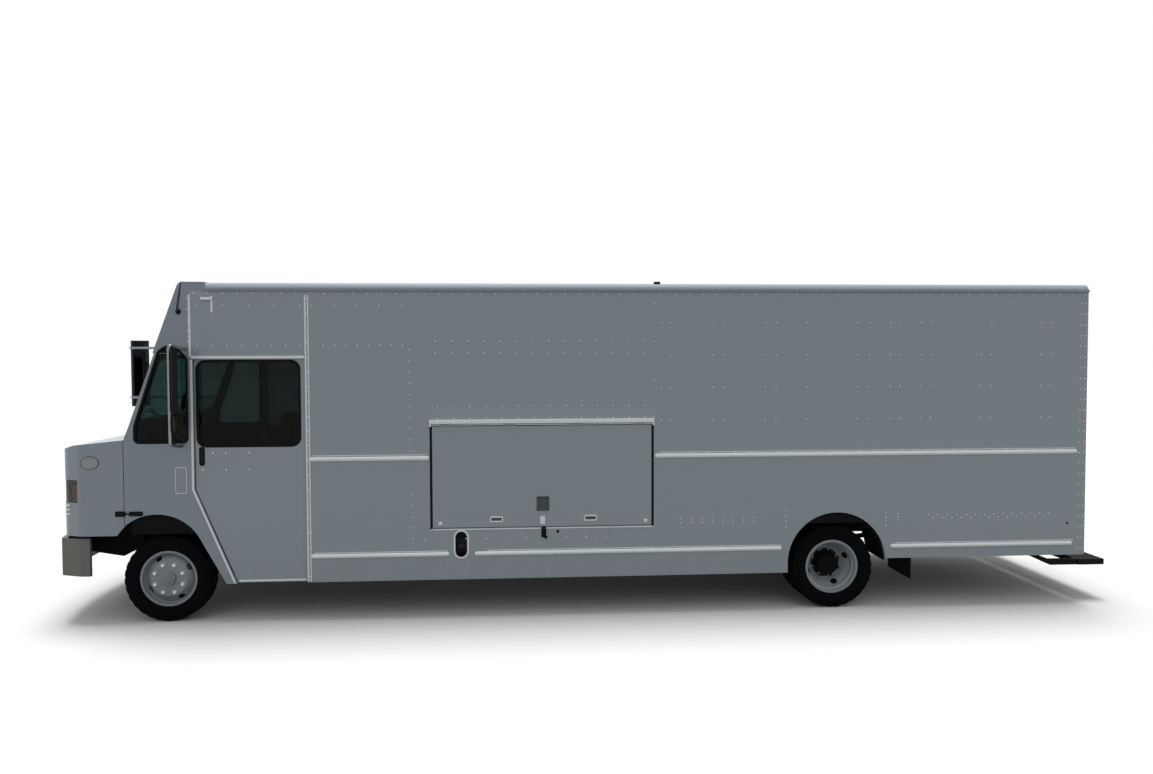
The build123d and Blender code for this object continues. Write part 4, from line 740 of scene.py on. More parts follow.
    # the mirror glass is a near-black metal: painted reflection of the dark surroundings it shows
    polished("mirror_glass", (0.035, 0.038, 0.042), 0.02)
    moulded("black_plastic", (0.0035, 0.0035, 0.004), 0.5, grain=520.0, depth=0.0002, specular=0.12)
    moulded("latch_plastic", (0.050, 0.058, 0.056), 0.45, grain=520.0, depth=0.0002)
    moulded("grille_plastic", (0.010, 0.010, 0.011), 0.45, grain=420.0, depth=0.0002, specular=0.25)
    moulded("dash_plastic", (0.012, 0.012, 0.013), 0.62, grain=380.0, depth=0.0005, specular=0.2)
    moulded("rubber", scaled(colours.rubber, 0.4), 0.65, grain=650.0, depth=0.0002, specular=0.10)
    moulded("tyre_rubber", scaled(colours.tyre, 0.6), 0.85, grain=500.0, depth=0.0003, dust=0.4, specular=0.06)
    moulded("seat_vinyl", colours.seat, 0.5, grain=260.0, depth=0.0007, edge=0.004)
    # near-black for the hand holes, which are painted shade, and for the drum faces and rear hub flanges, partly their
    # own dark metal and partly painted shade in the wheels' hollows
    moulded("hollow_shade_black", (0.004, 0.004, 0.004), 0.8, grain=200.0, specular=0.1)
    moulded("gauge_face", (0.30, 0.30, 0.30), 0.4, grain=900.0, depth=0.0001)
    glazed("tinted_glass", colours.glass)
    # the door glass is tinted darker than the cab glass: partly its own tint, partly painted shade of the dark cab
    # behind it and painted reflection of dark surroundings
    glazed("door_glass", (0.060, 0.072, 0.072))
    lamp_unit("headlamp", colours.amber)
    lens("red_lens", colours.red)


# finish: the CAD nodes that wear it, where a star stands for left and for right
NODE_FINISHES = {
    "body_paint": "side_wall_* rear_frame cab_door_* rear_door_* side_hatch serving_hatch",
    "roof_paint": "roof",
    "cab_paint": "cab_side_* cowl",
    "nose_paint": "hood",
    "rail_paint_highlight": "rub_rails hatch_rails",
    "filler_cup": "fuel_filler",
    "cap_paint": "front_cap",
    "bumper_paint": "front_bumper",
    "rubber": "mud_flaps",
    "tinted_glass": "cab_glass",
    "door_glass": "cab_door_glass_*",
    "floor_plate": "floor",
    "inner_paint": "bulkhead",
    "headlamp": "headlamps",
    "grille_plastic": "grille",
    "arm_steel": "mirror_arms",
    "black_plastic": "mirror_heads",
    "frame_paint": "chassis_frame leaf_springs rear_step",
    "cast_iron": "front_axle rear_axle knuckle_* driveline",
    "engine_paint": "engine",
    "tank_sheet": "fuel_tank",
    "exhaust_steel": "exhaust",
    "red_lens": "rear_lamps",
    "dash_plastic": "dashboard steering_wheel",
    "seat_vinyl": "driver_seat",
    "front_wheel_paint": "front_wheel_*",
    "rear_wheel_paint": "rear_wheels_*",
    "tyre_rubber": "front_tyre_* rear_tyres_*",
}


def dress_nodes():
    """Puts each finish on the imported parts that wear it."""
    for finish, names in NODE_FINISHES.items():
        for name in names.split():
            for side_name in SIDES if "*" in name else ("",):
                mesh = frame["nodes"][name.replace("*", side_name)].data
                mesh.materials.clear()
                mesh.materials.append(FINISHES[finish])


class VAN_OT_finishes(bpy.types.Operator):
    """Make the paints, metals, glass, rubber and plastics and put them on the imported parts"""

    bl_idname = "van.finishes"
    bl_label = "Finishes"

    def execute(self, context):
        build_groups()
        build_finishes()
        dress_nodes()
        return {"FINISHED"}


# ---------------------------------------------------------------- wheels

# half of a tyre's section: distance from its middle plane as a share of half its width, radius below the tread
SIDEWALL = [
    (0.720, 0.1430), (0.750, 0.1370), (0.835, 0.1320), (0.900, 0.1270), (0.885, 0.1225), (0.940, 0.1060),
    (0.985, 0.0830), (1.000, 0.0690), (0.994, 0.0610), (1.000, 0.0575), (0.988, 0.0540), (0.960, 0.0360),
    (0.932, 0.0250), (0.938, 0.0225), (0.915, 0.0150), (0.880, 0.0085),
]
# tread lands and grooves from the shoulder to the middle: share of half the width, share of the tread depth
TREAD = [
    (0.820, 0.0), (0.500, 0.0), (0.475, 1.0), (0.425, 1.0), (0.400, 0.0), (0.170, 0.0), (0.145, 1.0), (0.095, 1.0),
    (0.070, 0.0),
]
ZIGZAG = 0.022  # the grooves' swing, as a share of half the width
CROWN = 0.0045  # drop of the tread at the full width
NOTCH = (0.030, 0.05, 0.006, 0.007)  # reach down the side wall, share inwards, drop there and at the shoulder
# pieces, tyre nodes and bodies without their side's name, and the offsets of the tyres from their node's middle
TYRES = [
    ("front_tread", "front_tyre", "front_wheel", (0.0,)),
    ("rear_treads", "rear_tyres", "rear_wheels", (-0.132, 0.132)),
]
# bodies without their side's name: axle's X, plane of the nuts from the middle
WHEELS = {"front_wheel": (FRONT_AXLE_X, 1.123), "rear_wheels": (REAR_AXLE_X, 0.957)}
STUDS, STUD_CIRCLE = 8, 0.1375
HEXAGON = 1.732  # a hexagon's width across its flats over the radius of its corners
NUT_FLANGE = [(-0.001, 0.021), (0.0035, 0.021), (0.005, 0.0185)]
HUB_CAP_OUT, HUB_FLANGE_OUT = 0.037, 0.098  # how far they start from the plane of the nuts
HUB_BOLTS = (0.101, 0.087)  # distance out and radius of their circle
HUB_BOLT = [(0.0, 0.010), (0.008, 0.010), (0.010, 0.008)]
HUB_CAP = [
    (0.0, 0.044), (0.005, 0.043), (0.006, 0.036), (0.010, 0.034), (0.011, 0.012), (0.014, 0.010), (0.0145, 0.002),
]
HUB_FLANGE = [
    (0.0, 0.102), (0.004, 0.101), (0.005, 0.074), (0.007, 0.072), (0.007, 0.030), (0.010, 0.028), (0.011, 0.004),
]
# rear wheels' hand holes, laid as near-black ovals of painted shade on the disc: count, distance from the axle, first
# angle, half length and half width
HAND_HOLES = (4, 0.200, math.radians(22), 0.034, 0.020)
PAST_TYRES = 1.30  # lines that look for a wheel start this far from the middle
DRUM_IN = 0.123  # how far a drum's face lies behind its wheel's disc
DRUM = [(0.0, 0.150), (0.0, 0.231), (0.004, 0.236), (0.011, 0.236), (0.011, 0.150), (0.0, 0.150)]


def wheels(kind):
    """Each wheel of a kind: its body, its side and the point of its axle in the plane of its nuts."""
    axle_x, reach = WHEELS[kind]
    for side_name, side in SIDES.items():
        yield f"{kind}_{side_name}", side, Vector((axle_x, side * reach, AXLE_Z))


def round_axle(axle, count, radius, first=0.0):
    """Points spread round an axle."""
    for turn in (first + math.tau * k / count for k in range(count)):
        yield axle + Vector((radius * math.cos(turn), 0, radius * math.sin(turn)))


def add_tyre(shape, axle_x, middle_y, half_width, radius, depth, pitches):
    """One tyre with sidewall rings, a notched shoulder and zigzag grooves."""
    steps = pitches * 2
    notch_reach, notch_in, wall_drop, tread_drop = NOTCH
    rings = []
    for i in range(steps):
        zig = ZIGZAG if i % 2 else -ZIGZAG
        notched = i % 4 == 3
        section = []
        for way in (1, -1):
            half = []
            for share, below in SIDEWALL:
                cut = notched and below < notch_reach
                half.append((way * (share - notch_in * cut), radius - below - wall_drop * cut))
            for k, (share, cut) in enumerate(TREAD):
                drop = tread_drop if notched and k == 0 else 0.0
                half.append((way * share + (zig if k else 0.0), radius - CROWN * share * share - depth * cut - drop))
            section += half[::way]
        a = math.tau * i / steps
        rings.append([
            Vector((axle_x + r * math.sin(a), middle_y + half_width * share, AXLE_Z + r * math.cos(a)))
            for share, r in section
        ])
    stitch(shape, rings + [rings[0]])
    bmesh.ops.remove_doubles(shape, verts=shape.verts, dist=WELD)


class VAN_OT_tyres(bpy.types.Operator):
    """Build the tyres with their sidewall rings and zigzag tread"""

    bl_idname = "van.tyres"
    bl_label = "Tyres"

    def execute(self, context):
        trim = settings()[1]
        low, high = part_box("front_tyre_left")
        half_width = (high.y - low.y) / 2
        for name, node_name, body, offsets in TYRES:
            for side_name in SIDES:
                tyre_node = f"{node_name}_{side_name}"
                low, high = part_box(tyre_node)
                middle, radius = (low + high) / 2, (high.z - low.z) / 2
                made = Piece(f"{name}_{side_name}", "tyre_rubber", f"{body}_{side_name}", sharp=40)
                with made as shape:
                    for offset in offsets:
                        add_tyre(shape, middle.x, middle.y + offset, half_width, radius, trim.tread_depth,
                                 trim.tread_pitches)
                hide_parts(tyre_node)
        return {"FINISHED"}


class VAN_OT_wheel_nuts(bpy.types.Operator):
    """Build the flanged nuts on every wheel"""

    bl_idname = "van.wheel_nuts"
    bl_label = "Wheel Nuts"

    def execute(self, context):
        across = settings()[1].nut_across
        nut = [(0.004, across / HEXAGON), (0.022, across / HEXAGON), (0.0245, across / 2.05)]
        for kind in WHEELS:
            for body, side, axle in wheels(kind):
                out = Vector((0, side, 0))
                with Piece(f"{body}_nuts", "nut_steel", body, sharp=25) as shape:
                    for middle in round_axle(axle, STUDS, STUD_CIRCLE, math.radians(22.5)):
                        add_turned(shape, middle, out, NUT_FLANGE, 20)
                        add_turned(shape, middle, out, nut, 6)
                if kind == "front_wheel":
                    with Piece(f"{body}_hub_cap", "hub_paint", body, sharp=30) as hub:
                        add_turned(hub, axle + out * HUB_CAP_OUT, out, HUB_CAP, 36)
                    continue
                # the rear hub flange's near-black is partly its own dark metal and partly painted shade deep in the
                # dish
                with Piece(f"{body}_hub_flange", "hollow_shade_black", body, sharp=30) as hub:
                    add_turned(hub, axle + out * HUB_FLANGE_OUT, out, HUB_FLANGE, 36)
                    for middle in round_axle(axle + out * HUB_BOLTS[0], STUDS, HUB_BOLTS[1]):
                        add_turned(hub, middle, out, HUB_BOLT, 6)
        return {"FINISHED"}


class VAN_OT_drums(bpy.types.Operator):
    """Build the drum faces behind the front discs, in a near-black that is partly their own dark iron and partly
    painted shade
    """

    bl_idname = "van.drums"
    bl_label = "Brake Drums"

    def execute(self, context):
        for body, side, axle in wheels("front_wheel"):
            inward = Vector((0, -side, 0))
            with Piece(f"{body}_drum", "hollow_shade_black", body) as shape:
                add_turned(shape, axle + inward * DRUM_IN, inward, DRUM, 48, caps=False)
                bmesh.ops.remove_doubles(shape, verts=shape.verts, dist=WELD)
        return {"FINISHED"}


class VAN_OT_hand_holes(bpy.types.Operator):
    """Lay the rear wheels' hand holes on the discs as near-black ovals of painted shade"""

    bl_idname = "van.hand_holes"
    bl_label = "Hand Holes"

    def execute(self, context):
        count, reach, first, long, wide = HAND_HOLES
        for body, side, axle in wheels("rear_wheels"):
            out = Vector((0, side, 0))
            axle.y = side * PAST_TYRES
            with Piece(f"{body}_hand_holes", "hollow_shade_black", body, sharp=80) as shape:
                for centre in round_axle(axle, count, reach, first):
                    radial = (centre - axle).normalized()
                    tangent = Vector((-radial.z, 0, radial.x))
                    stitch(shape, [
                        [touch(body, spot, -out)[0] + out * 0.0012
                         for spot in circle(centre, radial * wide, tangent * long, share, 24)]
                        for share in (1.0, 0.5, 0.02)
                    ])
        return {"FINISHED"}


# ---------------------------------------------------------------- windows and wipers

DOOR_WINDOW = [(0.320, 1.668), (1.246, 1.668), (1.246, 2.452), (0.320, 2.452)]
QUARTER_WINDOW = [
    (-0.250, 1.706), (0.222, 1.706), (0.226, 2.480), (0.130, 2.588), (0.040, 2.588), (-0.020, 2.545), (-0.246, 1.860),
]
GLASS_FOOT, GLASS_HEAD = (-0.307, 1.850), (-0.062, 2.540)  # stations and heights of the windshield plane's ends
PANE = (0.563, 1.090, 0.055)  # pane's middle, width and border
FLUSH_RUBBER = [(-0.008, -0.012), (-0.008, 0.0), (-0.006, 0.0008), (0.018, 0.0008), (0.0185, -0.001)]
WIPER_PIVOTS = (-0.330, 0.760)  # both wipers sweep the same way
WIPER_REACH = (0.430, 0.120)  # from the pivot to the arm's tip across, and the tip's height up the glass
WIPER_BOSS = [(-0.012, 0.020), (0.010, 0.020), (0.016, 0.014)]
BLADE_HALF = 0.275  # half the length of a wiper's blade


def on_windshield(y, rise, out=0.0):
    """A point on the windshield's plane: distance across, up the glass, and out of it."""
    foot, head = (Vector((at(station), 0, z)) for station, z in (GLASS_FOOT, GLASS_HEAD))
    up = (head - foot).normalized()
    return foot + up * rise + Vector((-up.z, 0, up.x)) * out + Vector((0, y, 0))


class VAN_OT_window_rubbers(bpy.types.Operator):
    """Build the rubbers round the door windows, quarter windows and windshield"""

    bl_idname = "van.window_rubbers"
    bl_label = "Window Rubbers"

    def execute(self, context):
        trim = settings()[1]
        width, height = trim.rubber_width, trim.rubber_height
        section = [
            (-0.35 * width, -0.014), (-0.35 * width, height * 0.5), (-0.22 * width, height), (0.45 * width, height),
            (0.65 * width, height * 0.5), (0.65 * width, -0.001),
        ]
        for side_name, side in SIDES.items():
            with Piece(f"door_window_rubber_{side_name}", "rubber", f"cab_door_{side_name}") as door:
                add_band(door, rounded(DOOR_WINDOW, 0.072), FLUSH_RUBBER, on_side(side, DOOR_OUT))
            with Piece(f"quarter_window_rubber_{side_name}", "rubber") as quarter:
                add_band(quarter, rounded(QUARTER_WINDOW, 0.038), section, on_side(side))
        rise = (Vector(GLASS_HEAD) - Vector(GLASS_FOOT)).length
        centre, across, border = PANE
        with Piece("windshield_rubbers", "rubber") as shield:
            for side in SIDES.values():
                outline = rounded_box(side * centre, rise / 2, across, rise - 2 * border, 0.060)
                add_band(shield, outline, section, on_windshield)
        return {"FINISHED"}


class VAN_OT_wipers(bpy.types.Operator):
    """Build the wiper arms and blades"""

    bl_idname = "van.wipers"
    bl_label = "Wipers"

    def execute(self, context):
        out = on_windshield(0, 0, 1) - on_windshield(0, 0, 0)
        for number, y in enumerate(WIPER_PIVOTS):
            u, v = y - WIPER_REACH[0], WIPER_REACH[1]
            blade = [(u + BLADE_HALF, v - 0.012), (u + 0.1, v), (u - 0.1, v + 0.003), (u - BLADE_HALF, v)]
            arm = [(y, 0.010, 0.020), (y - 0.12, 0.045, 0.030), (u, v, 0.024)]
            with Piece(f"wiper_{number + 1}", "black_plastic") as shape:
                add_turned(shape, on_windshield(y, 0.010, 0.004), out, WIPER_BOSS, 20)
                add_tube(shape, [on_windshield(*spot) for spot in arm], 0.006, 8)
                add_tube(shape, [on_windshield(*spot, 0.013) for spot in blade], 0.0055, 6)
                add_tube(shape, [on_windshield(a, b + 0.001, 0.021) for a, b in blade[1:3]], 0.006, 6)
        return {"FINISHED"}


# ---------------------------------------------------------------- rivets

# rows on both sides: first station, last station, height, count
SIDE_ROWS = [
    (0.300, 8.930, 3.088, 66), (0.330, 1.270, 2.976, 5), (0.330, 1.270, 2.602, 8), (1.375, 2.209, 2.976, 5),
    (1.480, 2.213, 2.602, 8), (1.400, 2.420, 1.548, 9), (1.390, 2.600, 0.640, 11), (4.720, 8.700, 1.552, 30),
    (3.520, 5.800, 0.640, 18), (7.060, 8.640, 0.640, 12), (4.874, 5.593, 0.912, 8), (4.874, 5.593, 0.876, 8),
    (7.350, 8.592, 0.912, 14), (7.400, 8.540, 0.882, 13),
]
# columns on both sides: station, lowest, highest, count
SIDE_COLUMNS = [
    (1.328, 0.420, 3.040, 20), (2.275, 1.600, 2.560, 10), (8.895, 0.560, 3.000, 24), (8.940, 0.560, 3.000, 24),
    (2.296, 0.764, 1.181, 5), (0.240, 2.640, 3.040, 5), (4.607, 1.900, 3.000, 4), (5.910, 0.816, 0.986, 4),
    (6.918, 0.813, 0.943, 4), (7.039, 0.867, 0.932, 3),
]
# pairs of rivets at the posts behind the side hatch: station of the first, gap to the second
POSTS = [
    (4.680, 0.085), (5.186, 0.098), (5.700, 0.105), (6.110, 0.0), (6.616, 0.120), (6.946, 0.100), (7.256, 0.102),
    (7.868, 0.102), (8.486, 0.100),
]
POST_HEIGHTS = (2.815, 2.500, 2.190, 1.875)
# rows over and under the driver's side hatch, and over and under the serving hatch
HATCH_ROWS = [
    (2.521, 4.515, 2.640, 14), (2.520, 4.515, 2.527, 14), (2.536, 4.518, 2.022, 14), (2.535, 4.518, 1.905, 14),
    (2.413, 4.525, 0.755, 12),
]
SERVING_ROWS = [(2.640, 5.160, 2.850, 18), (2.640, 5.160, 1.745, 18)]
SERVING_CLEAR = (2.60, 5.20, 1.70, 2.86)  # stations and heights that the serving hatch keeps clear of rivets
DOOR_RIVETS = [(0.567, 1.600), (0.781, 1.600), (0.450, 1.600), (0.357, 1.441), (0.567, 1.441), (0.781, 1.441)]


def spread(first, last, count):
    """Evenly spread numbers."""
    return [first + (last - first) * i / (count - 1) for i in range(count)]


def rivet_rows(rows):
    """Spots of riveted rows."""
    return [(station, z) for first, last, z, count in rows for station in spread(first, last, count)]


class VAN_OT_rivets(bpy.types.Operator):
    """Build the rows of rivets on the sides, doors and rear"""

    bl_idname = "van.rivets"
    bl_label = "Rivets"

    def execute(self, context):
        trim = settings()[1]
        size = trim.rivet_radius, trim.rivet_height
        common = rivet_rows(SIDE_ROWS)
        common += [(station, z) for station, low, high, count in SIDE_COLUMNS for z in spread(low, high, count)]
        for station, gap in POSTS:
            pair = (station, station + gap) if gap else (station,)
            common += [(spot, z) for spot in pair for z in POST_HEIGHTS]
        start, end, bottom, top = SERVING_CLEAR
        kerb = [(station, z) for station, z in common if not (start < station < end and bottom < z < top)]
        spots = {"left": common + rivet_rows(HATCH_ROWS), "right": kerb + rivet_rows(SERVING_ROWS)}
        for side_name, side in SIDES.items():
            out = (0, side, 0)
            with Piece(f"rivets_{side_name}", "trim_metal") as shape:
                for spot in spots[side_name]:
                    add_dome(shape, beside(side, *spot), out, *size)
            with Piece(f"door_rivets_{side_name}", "trim_metal", f"cab_door_{side_name}") as door:
                for spot in DOOR_RIVETS:
                    add_dome(door, beside(side, *spot, DOOR_OUT), out, 0.008, 0.0008, 12)
        rear = [(side * y, z) for side in SIDES.values() for z in spread(0.560, 3.000, 24) for y in (1.192, 1.150)]
        rear += [(y, 3.040) for y in spread(-1.05, 1.05, 22)]
        with Piece("rivets_rear", "trim_metal") as shape:
            for spot in rear:
                add_dome(shape, (BODY_REAR_X, *spot), (1, 0, 0), *size)
        return {"FINISHED"}


# ---------------------------------------------------------------- doorways and rub rails

DOORWAY_FOOT, DOORWAY_HEAD = 0.372, 3.074  # heights between which the mouldings run
DOORWAY_TOP = 2.492  # height of the moulding over the door
# upright mouldings: station, lowest point, width, share of the set height
UPRIGHTS = [(1.316, DOORWAY_FOOT, 0.016, 1.0), (1.341, DOORWAY_FOOT, 0.012, 0.7), (0.262, 2.500, 0.020, 1.0)]
FRONT_EDGE = [(0.270, 2.470), (0.270, 1.260), (0.638, DOORWAY_FOOT)]  # the kinked moulding ahead of the door
DOOR_PULL = (0.350, 1.568, 0.056, 0.180)  # station, height, width and length
PULL_RIM = [(0.0, -0.001), (-0.001, 0.0009), (-0.009, 0.0009), (-0.014, 0.0002), (-0.0278, 0.0002)]
PULL_GRIP = [(0.0, -0.001), (0.0, 0.0007), (-0.003, 0.0010), (-0.0085, 0.0010)]
UPPER_RAIL, LOWER_RAIL = 1.529, 0.608  # heights of the rub rails
ARCH_START, ARCH_END = WHEELBASE - 0.536, WHEELBASE + 0.582  # where the lower rails stop for the rear wheels
# thin lip of the sheet over each rub rail, its near-white partly painted highlight: first station, last station,
# height
RAIL_LIPS = {
    "left": [
        (1.372, 2.425, 1.563), (4.665, 8.850, 1.563), (1.372, 2.630, 0.640), (3.000, 5.860, 0.640),
        (7.010, 8.850, 0.640),
    ],
    "right": [(1.372, 8.850, 1.563), (1.372, 5.860, 0.640), (7.010, 8.850, 0.640)],
}
# rub rails: first station, last station, height
RAIL_ENDS = {
    "left": [
        (1.353, 2.444, UPPER_RAIL), (4.628, WHEELBASE + 2.463, UPPER_RAIL), (1.356, 2.625, LOWER_RAIL),
        (2.891, ARCH_START, LOWER_RAIL), (ARCH_END, WHEELBASE + 2.426, LOWER_RAIL),
    ],
    "right": [
        (1.353, WHEELBASE + 2.463, UPPER_RAIL), (1.356, ARCH_START, LOWER_RAIL),
        (ARCH_END, WHEELBASE + 2.426, LOWER_RAIL),
    ],
}
NOSING = [(-0.002, 0.0212), (0.004, 0.0205), (0.009, 0.0165), (0.012, 0.010), (0.0130, 0.003)]


class VAN_OT_doorways(bpy.types.Operator):
    """Build the mouldings, sill strips and pulls of the sliding doors"""

    bl_idname = "van.doorways"
    bl_label = "Doorways"

    def execute(self, context):
        trim = settings()[1]
        width, height = trim.moulding_width, trim.moulding_height
        station, z, across, tall = DOOR_PULL
        for side_name, side in SIDES.items():
            door = f"cab_door_{side_name}"
            with Piece(f"doorway_mouldings_{side_name}", "rail_paint_highlight") as shape:
                for upright, low, wide, share in UPRIGHTS:
                    add_strip(shape, side, [(upright, low), (upright, DOORWAY_HEAD)], wide, height * share)
                add_strip(shape, side, [(0.275, DOORWAY_TOP), (1.304, DOORWAY_TOP)], width * 0.9, height)
                add_strip(shape, side, FRONT_EDGE, width * 0.72, height)
            with Piece(f"door_sill_strip_{side_name}", "rail_paint_highlight", door) as sill:
                add_strip(sill, side, [(0.672, 0.388), (1.290, 0.388)], 0.018, 0.0008, 0.002, DOOR_OUT)
            with Piece(f"door_pull_{side_name}", "black_plastic", door) as pull:
                add_band(pull, rounded_box(station, z, across, tall, 0.024), PULL_RIM, on_side(side, DOOR_OUT))
                grip = rounded_box(station, z, across * 0.34, tall * 0.66, 0.008)
                add_band(pull, grip, PULL_GRIP, on_side(side, DOOR_OUT))
        return {"FINISHED"}


class VAN_OT_rail_lips(bpy.types.Operator):
    """Build the lips over the rub rails"""

    bl_idname = "van.rail_lips"
    bl_label = "Rail Lips"

    def execute(self, context):
        for side_name, side in SIDES.items():
            with Piece(f"rail_lips_{side_name}", "rail_paint_highlight") as shape:
                for first, last, z in RAIL_LIPS[side_name]:
                    add_strip(shape, side, [(first, z), (last, z)], 0.007, 0.003)
                for first, last, z in RAIL_ENDS[side_name]:
                    for station, way in ((first, -1), (last, 1)):
                        add_turned(shape, beside(side, station, z, -0.0015), (way, 0, 0), NOSING, 20)
                for vert in shape.verts:  # nothing reaches through the wall's skin
                    vert.co.y = side * max(abs(vert.co.y), HALF_WIDTH - 0.005)
        return {"FINISHED"}


# ---------------------------------------------------------------- wheel arches

FRONT_ARCH = [
    (-0.345, 0.880), (-0.250, 0.968), (-0.150, 1.014), (-0.060, 1.031), (0.040, 1.021), (0.140, 0.975), (0.240, 0.893),
    (0.335, 0.775), (0.440, 0.590), (0.548, 0.400),
]
REAR_ARCH = (REAR_AXLE_X + 0.030, 0.460, 0.492, 0.395)  # centre's X and height, radius, height of its front foot
ARCH_DEPTH = (1.182, 0.700)  # a liner's outer and inner edges from the middle
LINER_GAP, LINER_THICK = 0.002, 0.003
SPLASH_PLATE = [(-0.985, 0.815), (-0.960, 0.560), (-0.640, 0.505), (-0.450, 0.600), (-0.430, 0.815)]
SPLASH_DEPTHS = (0.560, 0.563, 0.566)  # a splash plate's faces and middle, from the middle of the van


def add_liner(shape, side, path):
    """A bent sheet over a wheel: path rows are (x, z), lifted away from the wheel."""
    outer, inner = ARCH_DEPTH
    top = LINER_GAP + LINER_THICK
    rings = []
    for i, spot in enumerate(path):
        along = (Vector(path[min(len(path) - 1, i + 1)]) - Vector(path[max(0, i - 1)])).normalized()
        rings.append([
            Vector((spot[0] - along.y * rise, side * y, spot[1] + along.x * rise))
            for y, rise in ((outer, LINER_GAP), (inner, LINER_GAP), (inner, top), (outer, top))
        ])
    stitch(shape, rings, caps=True)


class VAN_OT_arch_liners(bpy.types.Operator):
    """Build the arch liners and splash plates"""

    bl_idname = "van.arch_liners"
    bl_label = "Arch Liners"

    def execute(self, context):
        front = [(at(station), z) for station, z in FRONT_ARCH]
        x, z, radius, foot = REAR_ARCH
        turns = [math.pi * k / 24 for k in range(25)]
        rear = [(x - radius, foot)] + [(x - radius * math.cos(a), z + radius * math.sin(a)) for a in turns]
        outline = rounded([(at(station), height) for station, height in SPLASH_PLATE], 0.030, 4)
        for side_name, side in SIDES.items():
            with Piece(f"arch_liner_{side_name}", "rubber", sharp=25) as shape:
                add_liner(shape, side, front)
                add_liner(shape, side, rear)
            with Piece(f"splash_plate_{side_name}", "rubber") as plate:
                rings = [[Vector((p.x, side * y, p.y)) for p in outline] for y in SPLASH_DEPTHS]
                stitch(plate, rings, caps=True)
        return {"FINISHED"}


# ---------------------------------------------------------------- hatches

# side, body, and the stations and heights of the opening
HATCHES = [(-1, "side_hatch", (2.478, 4.588, 0.856, 1.838)), (1, "serving_hatch", (2.700, 5.100, 1.800, 2.760))]
PULL_SHARES, PULL_RISE = (0.289, 0.717), 0.081  # finger pulls: shares of the opening's length, height over its foot
LATCH_RISE = 0.227  # the paddle latch's height over the opening's foot
HASP_OFF, HASP_RISE = -0.004, 0.066  # the hasp plate's place from the latch's station and the opening's foot
STOP = [(0.0, 0.011), (0.007, 0.010), (0.009, 0.006)]
FILLER_RIM = [(0.012, -0.001), (0.011, 0.005), (0.004, 0.007), (-0.003, 0.004)]


class VAN_OT_hatch_fittings(bpy.types.Operator):
    """Build the dark strips of painted shadow, the pulls, the latches and the stops of the two hatches"""

    bl_idname = "van.hatch_fittings"
    bl_label = "Hatch Fittings"

    def execute(self, context):
        for side, body, (start, end, bottom, top) in HATCHES:
            middle, out = (start + end) / 2, (0, side, 0)
            pulls = [start + (end - start) * share for share in PULL_SHARES]
            hasp, latch = middle + HASP_OFF, bottom + LATCH_RISE
            with Piece(f"{body}_fittings", "rail_paint_highlight", body) as bright:
                for station in pulls:
                    add_frame(bright, side, station, bottom + PULL_RISE, 0.126, 0.056, 0.014, 0.006)
                add_plate(bright, side, hasp, bottom + HASP_RISE, 0.046, 0.080, 0.004, 0.005)
                for rise in (0.048, 0.080):
                    add_dome(bright, beside(side, hasp, bottom + rise, 0.004), out, 0.006, 0.003, 10)
                for station in (start + 0.077, end - 0.063):
                    add_plate(bright, side, station, bottom + 0.046, 0.034, 0.034, 0.003, 0.006)
                    add_turned(bright, beside(side, station, bottom + 0.048, 0.003), out, STOP, 14)
            with Piece(f"{body}_latch", "latch_plastic", body) as dark:
                for station in pulls:
                    add_plate(dark, side, station, bottom + PULL_RISE, 0.098, 0.028, 0.0008, 0.004)
                add_frame(dark, side, middle, latch, 0.120, 0.138, 0.020, 0.009)
                add_plate(dark, side, middle, latch, 0.084, 0.102, 0.002, 0.004)
                add_plate(dark, side, middle, latch + 0.010, 0.060, 0.076, 0.0075, 0.004)
            # painted shadow: dark rubber strips standing for the shaded gaps along the hatch's sides
            with Piece(f"{body}_seals", "rubber") as seal:
                for station in (start - 0.009, end + 0.009):
                    add_strip(seal, side, [(station, bottom - 0.006), (station, top - 0.010)], 0.018, 0.0015, 0.001)
            # bright strips under and over the opening, whose near-white paints the highlights along the hatch's edges
            with Piece(f"{body}_edges", "rail_paint_highlight") as edge:
                for over, z, height in ((0.016, bottom - 0.012, 0.005), (0.018, top + 0.052, 0.006)):
                    add_strip(edge, side, [(start - over, z), (end + over, z)], 0.010, height)
        with Piece("hasp_strap", "rubber") as strap:
            lean = Matrix.Rotation(math.radians(24), 3, "Y")
            add_block(strap, beside(-1, 3.540, 0.812, 0.006), (0.046, 0.010, 0.098), 0.004)
            add_block(strap, beside(-1, 3.549, 0.762, 0.006), (0.050, 0.009, 0.026), 0.004, lean)
            for station, z, radius in ((3.675, 0.812, 0.014), (8.781, 0.809, 0.011)):
                profile = [(-0.001, radius), (0.004, radius), (0.006, radius * 0.7)]
                add_turned(strap, beside(-1, station, z), (0, -1, 0), profile, 20)
        with Piece("filler_rim", "rail_paint_highlight") as rim:
            add_band(rim, rounded_box(*FILLER, 0.122, 0.254, 0.0605, 10), FILLER_RIM, on_side(-1))
        return {"FINISHED"}


# ---------------------------------------------------------------- nose, mirrors and cab

# nose plate and its rim: share of the plate's half length and half width, distance out
PLATE = [(1.0, -0.002), (1.0, 0.003), (0.97, 0.0055), (0.90, 0.0055), (0.87, 0.0030), (0.4, 0.0045)]
PLATE_RIM = [(1.0, 0.003), (0.985, 0.0068), (0.93, 0.0068), (0.915, 0.004)]
PLATE_HALF = (0.084, 0.062)
PLATE_SPOT = (-0.659, 1.520)  # station and height
CLEAR_Y = 2.0  # lines that look for the hood start this far out
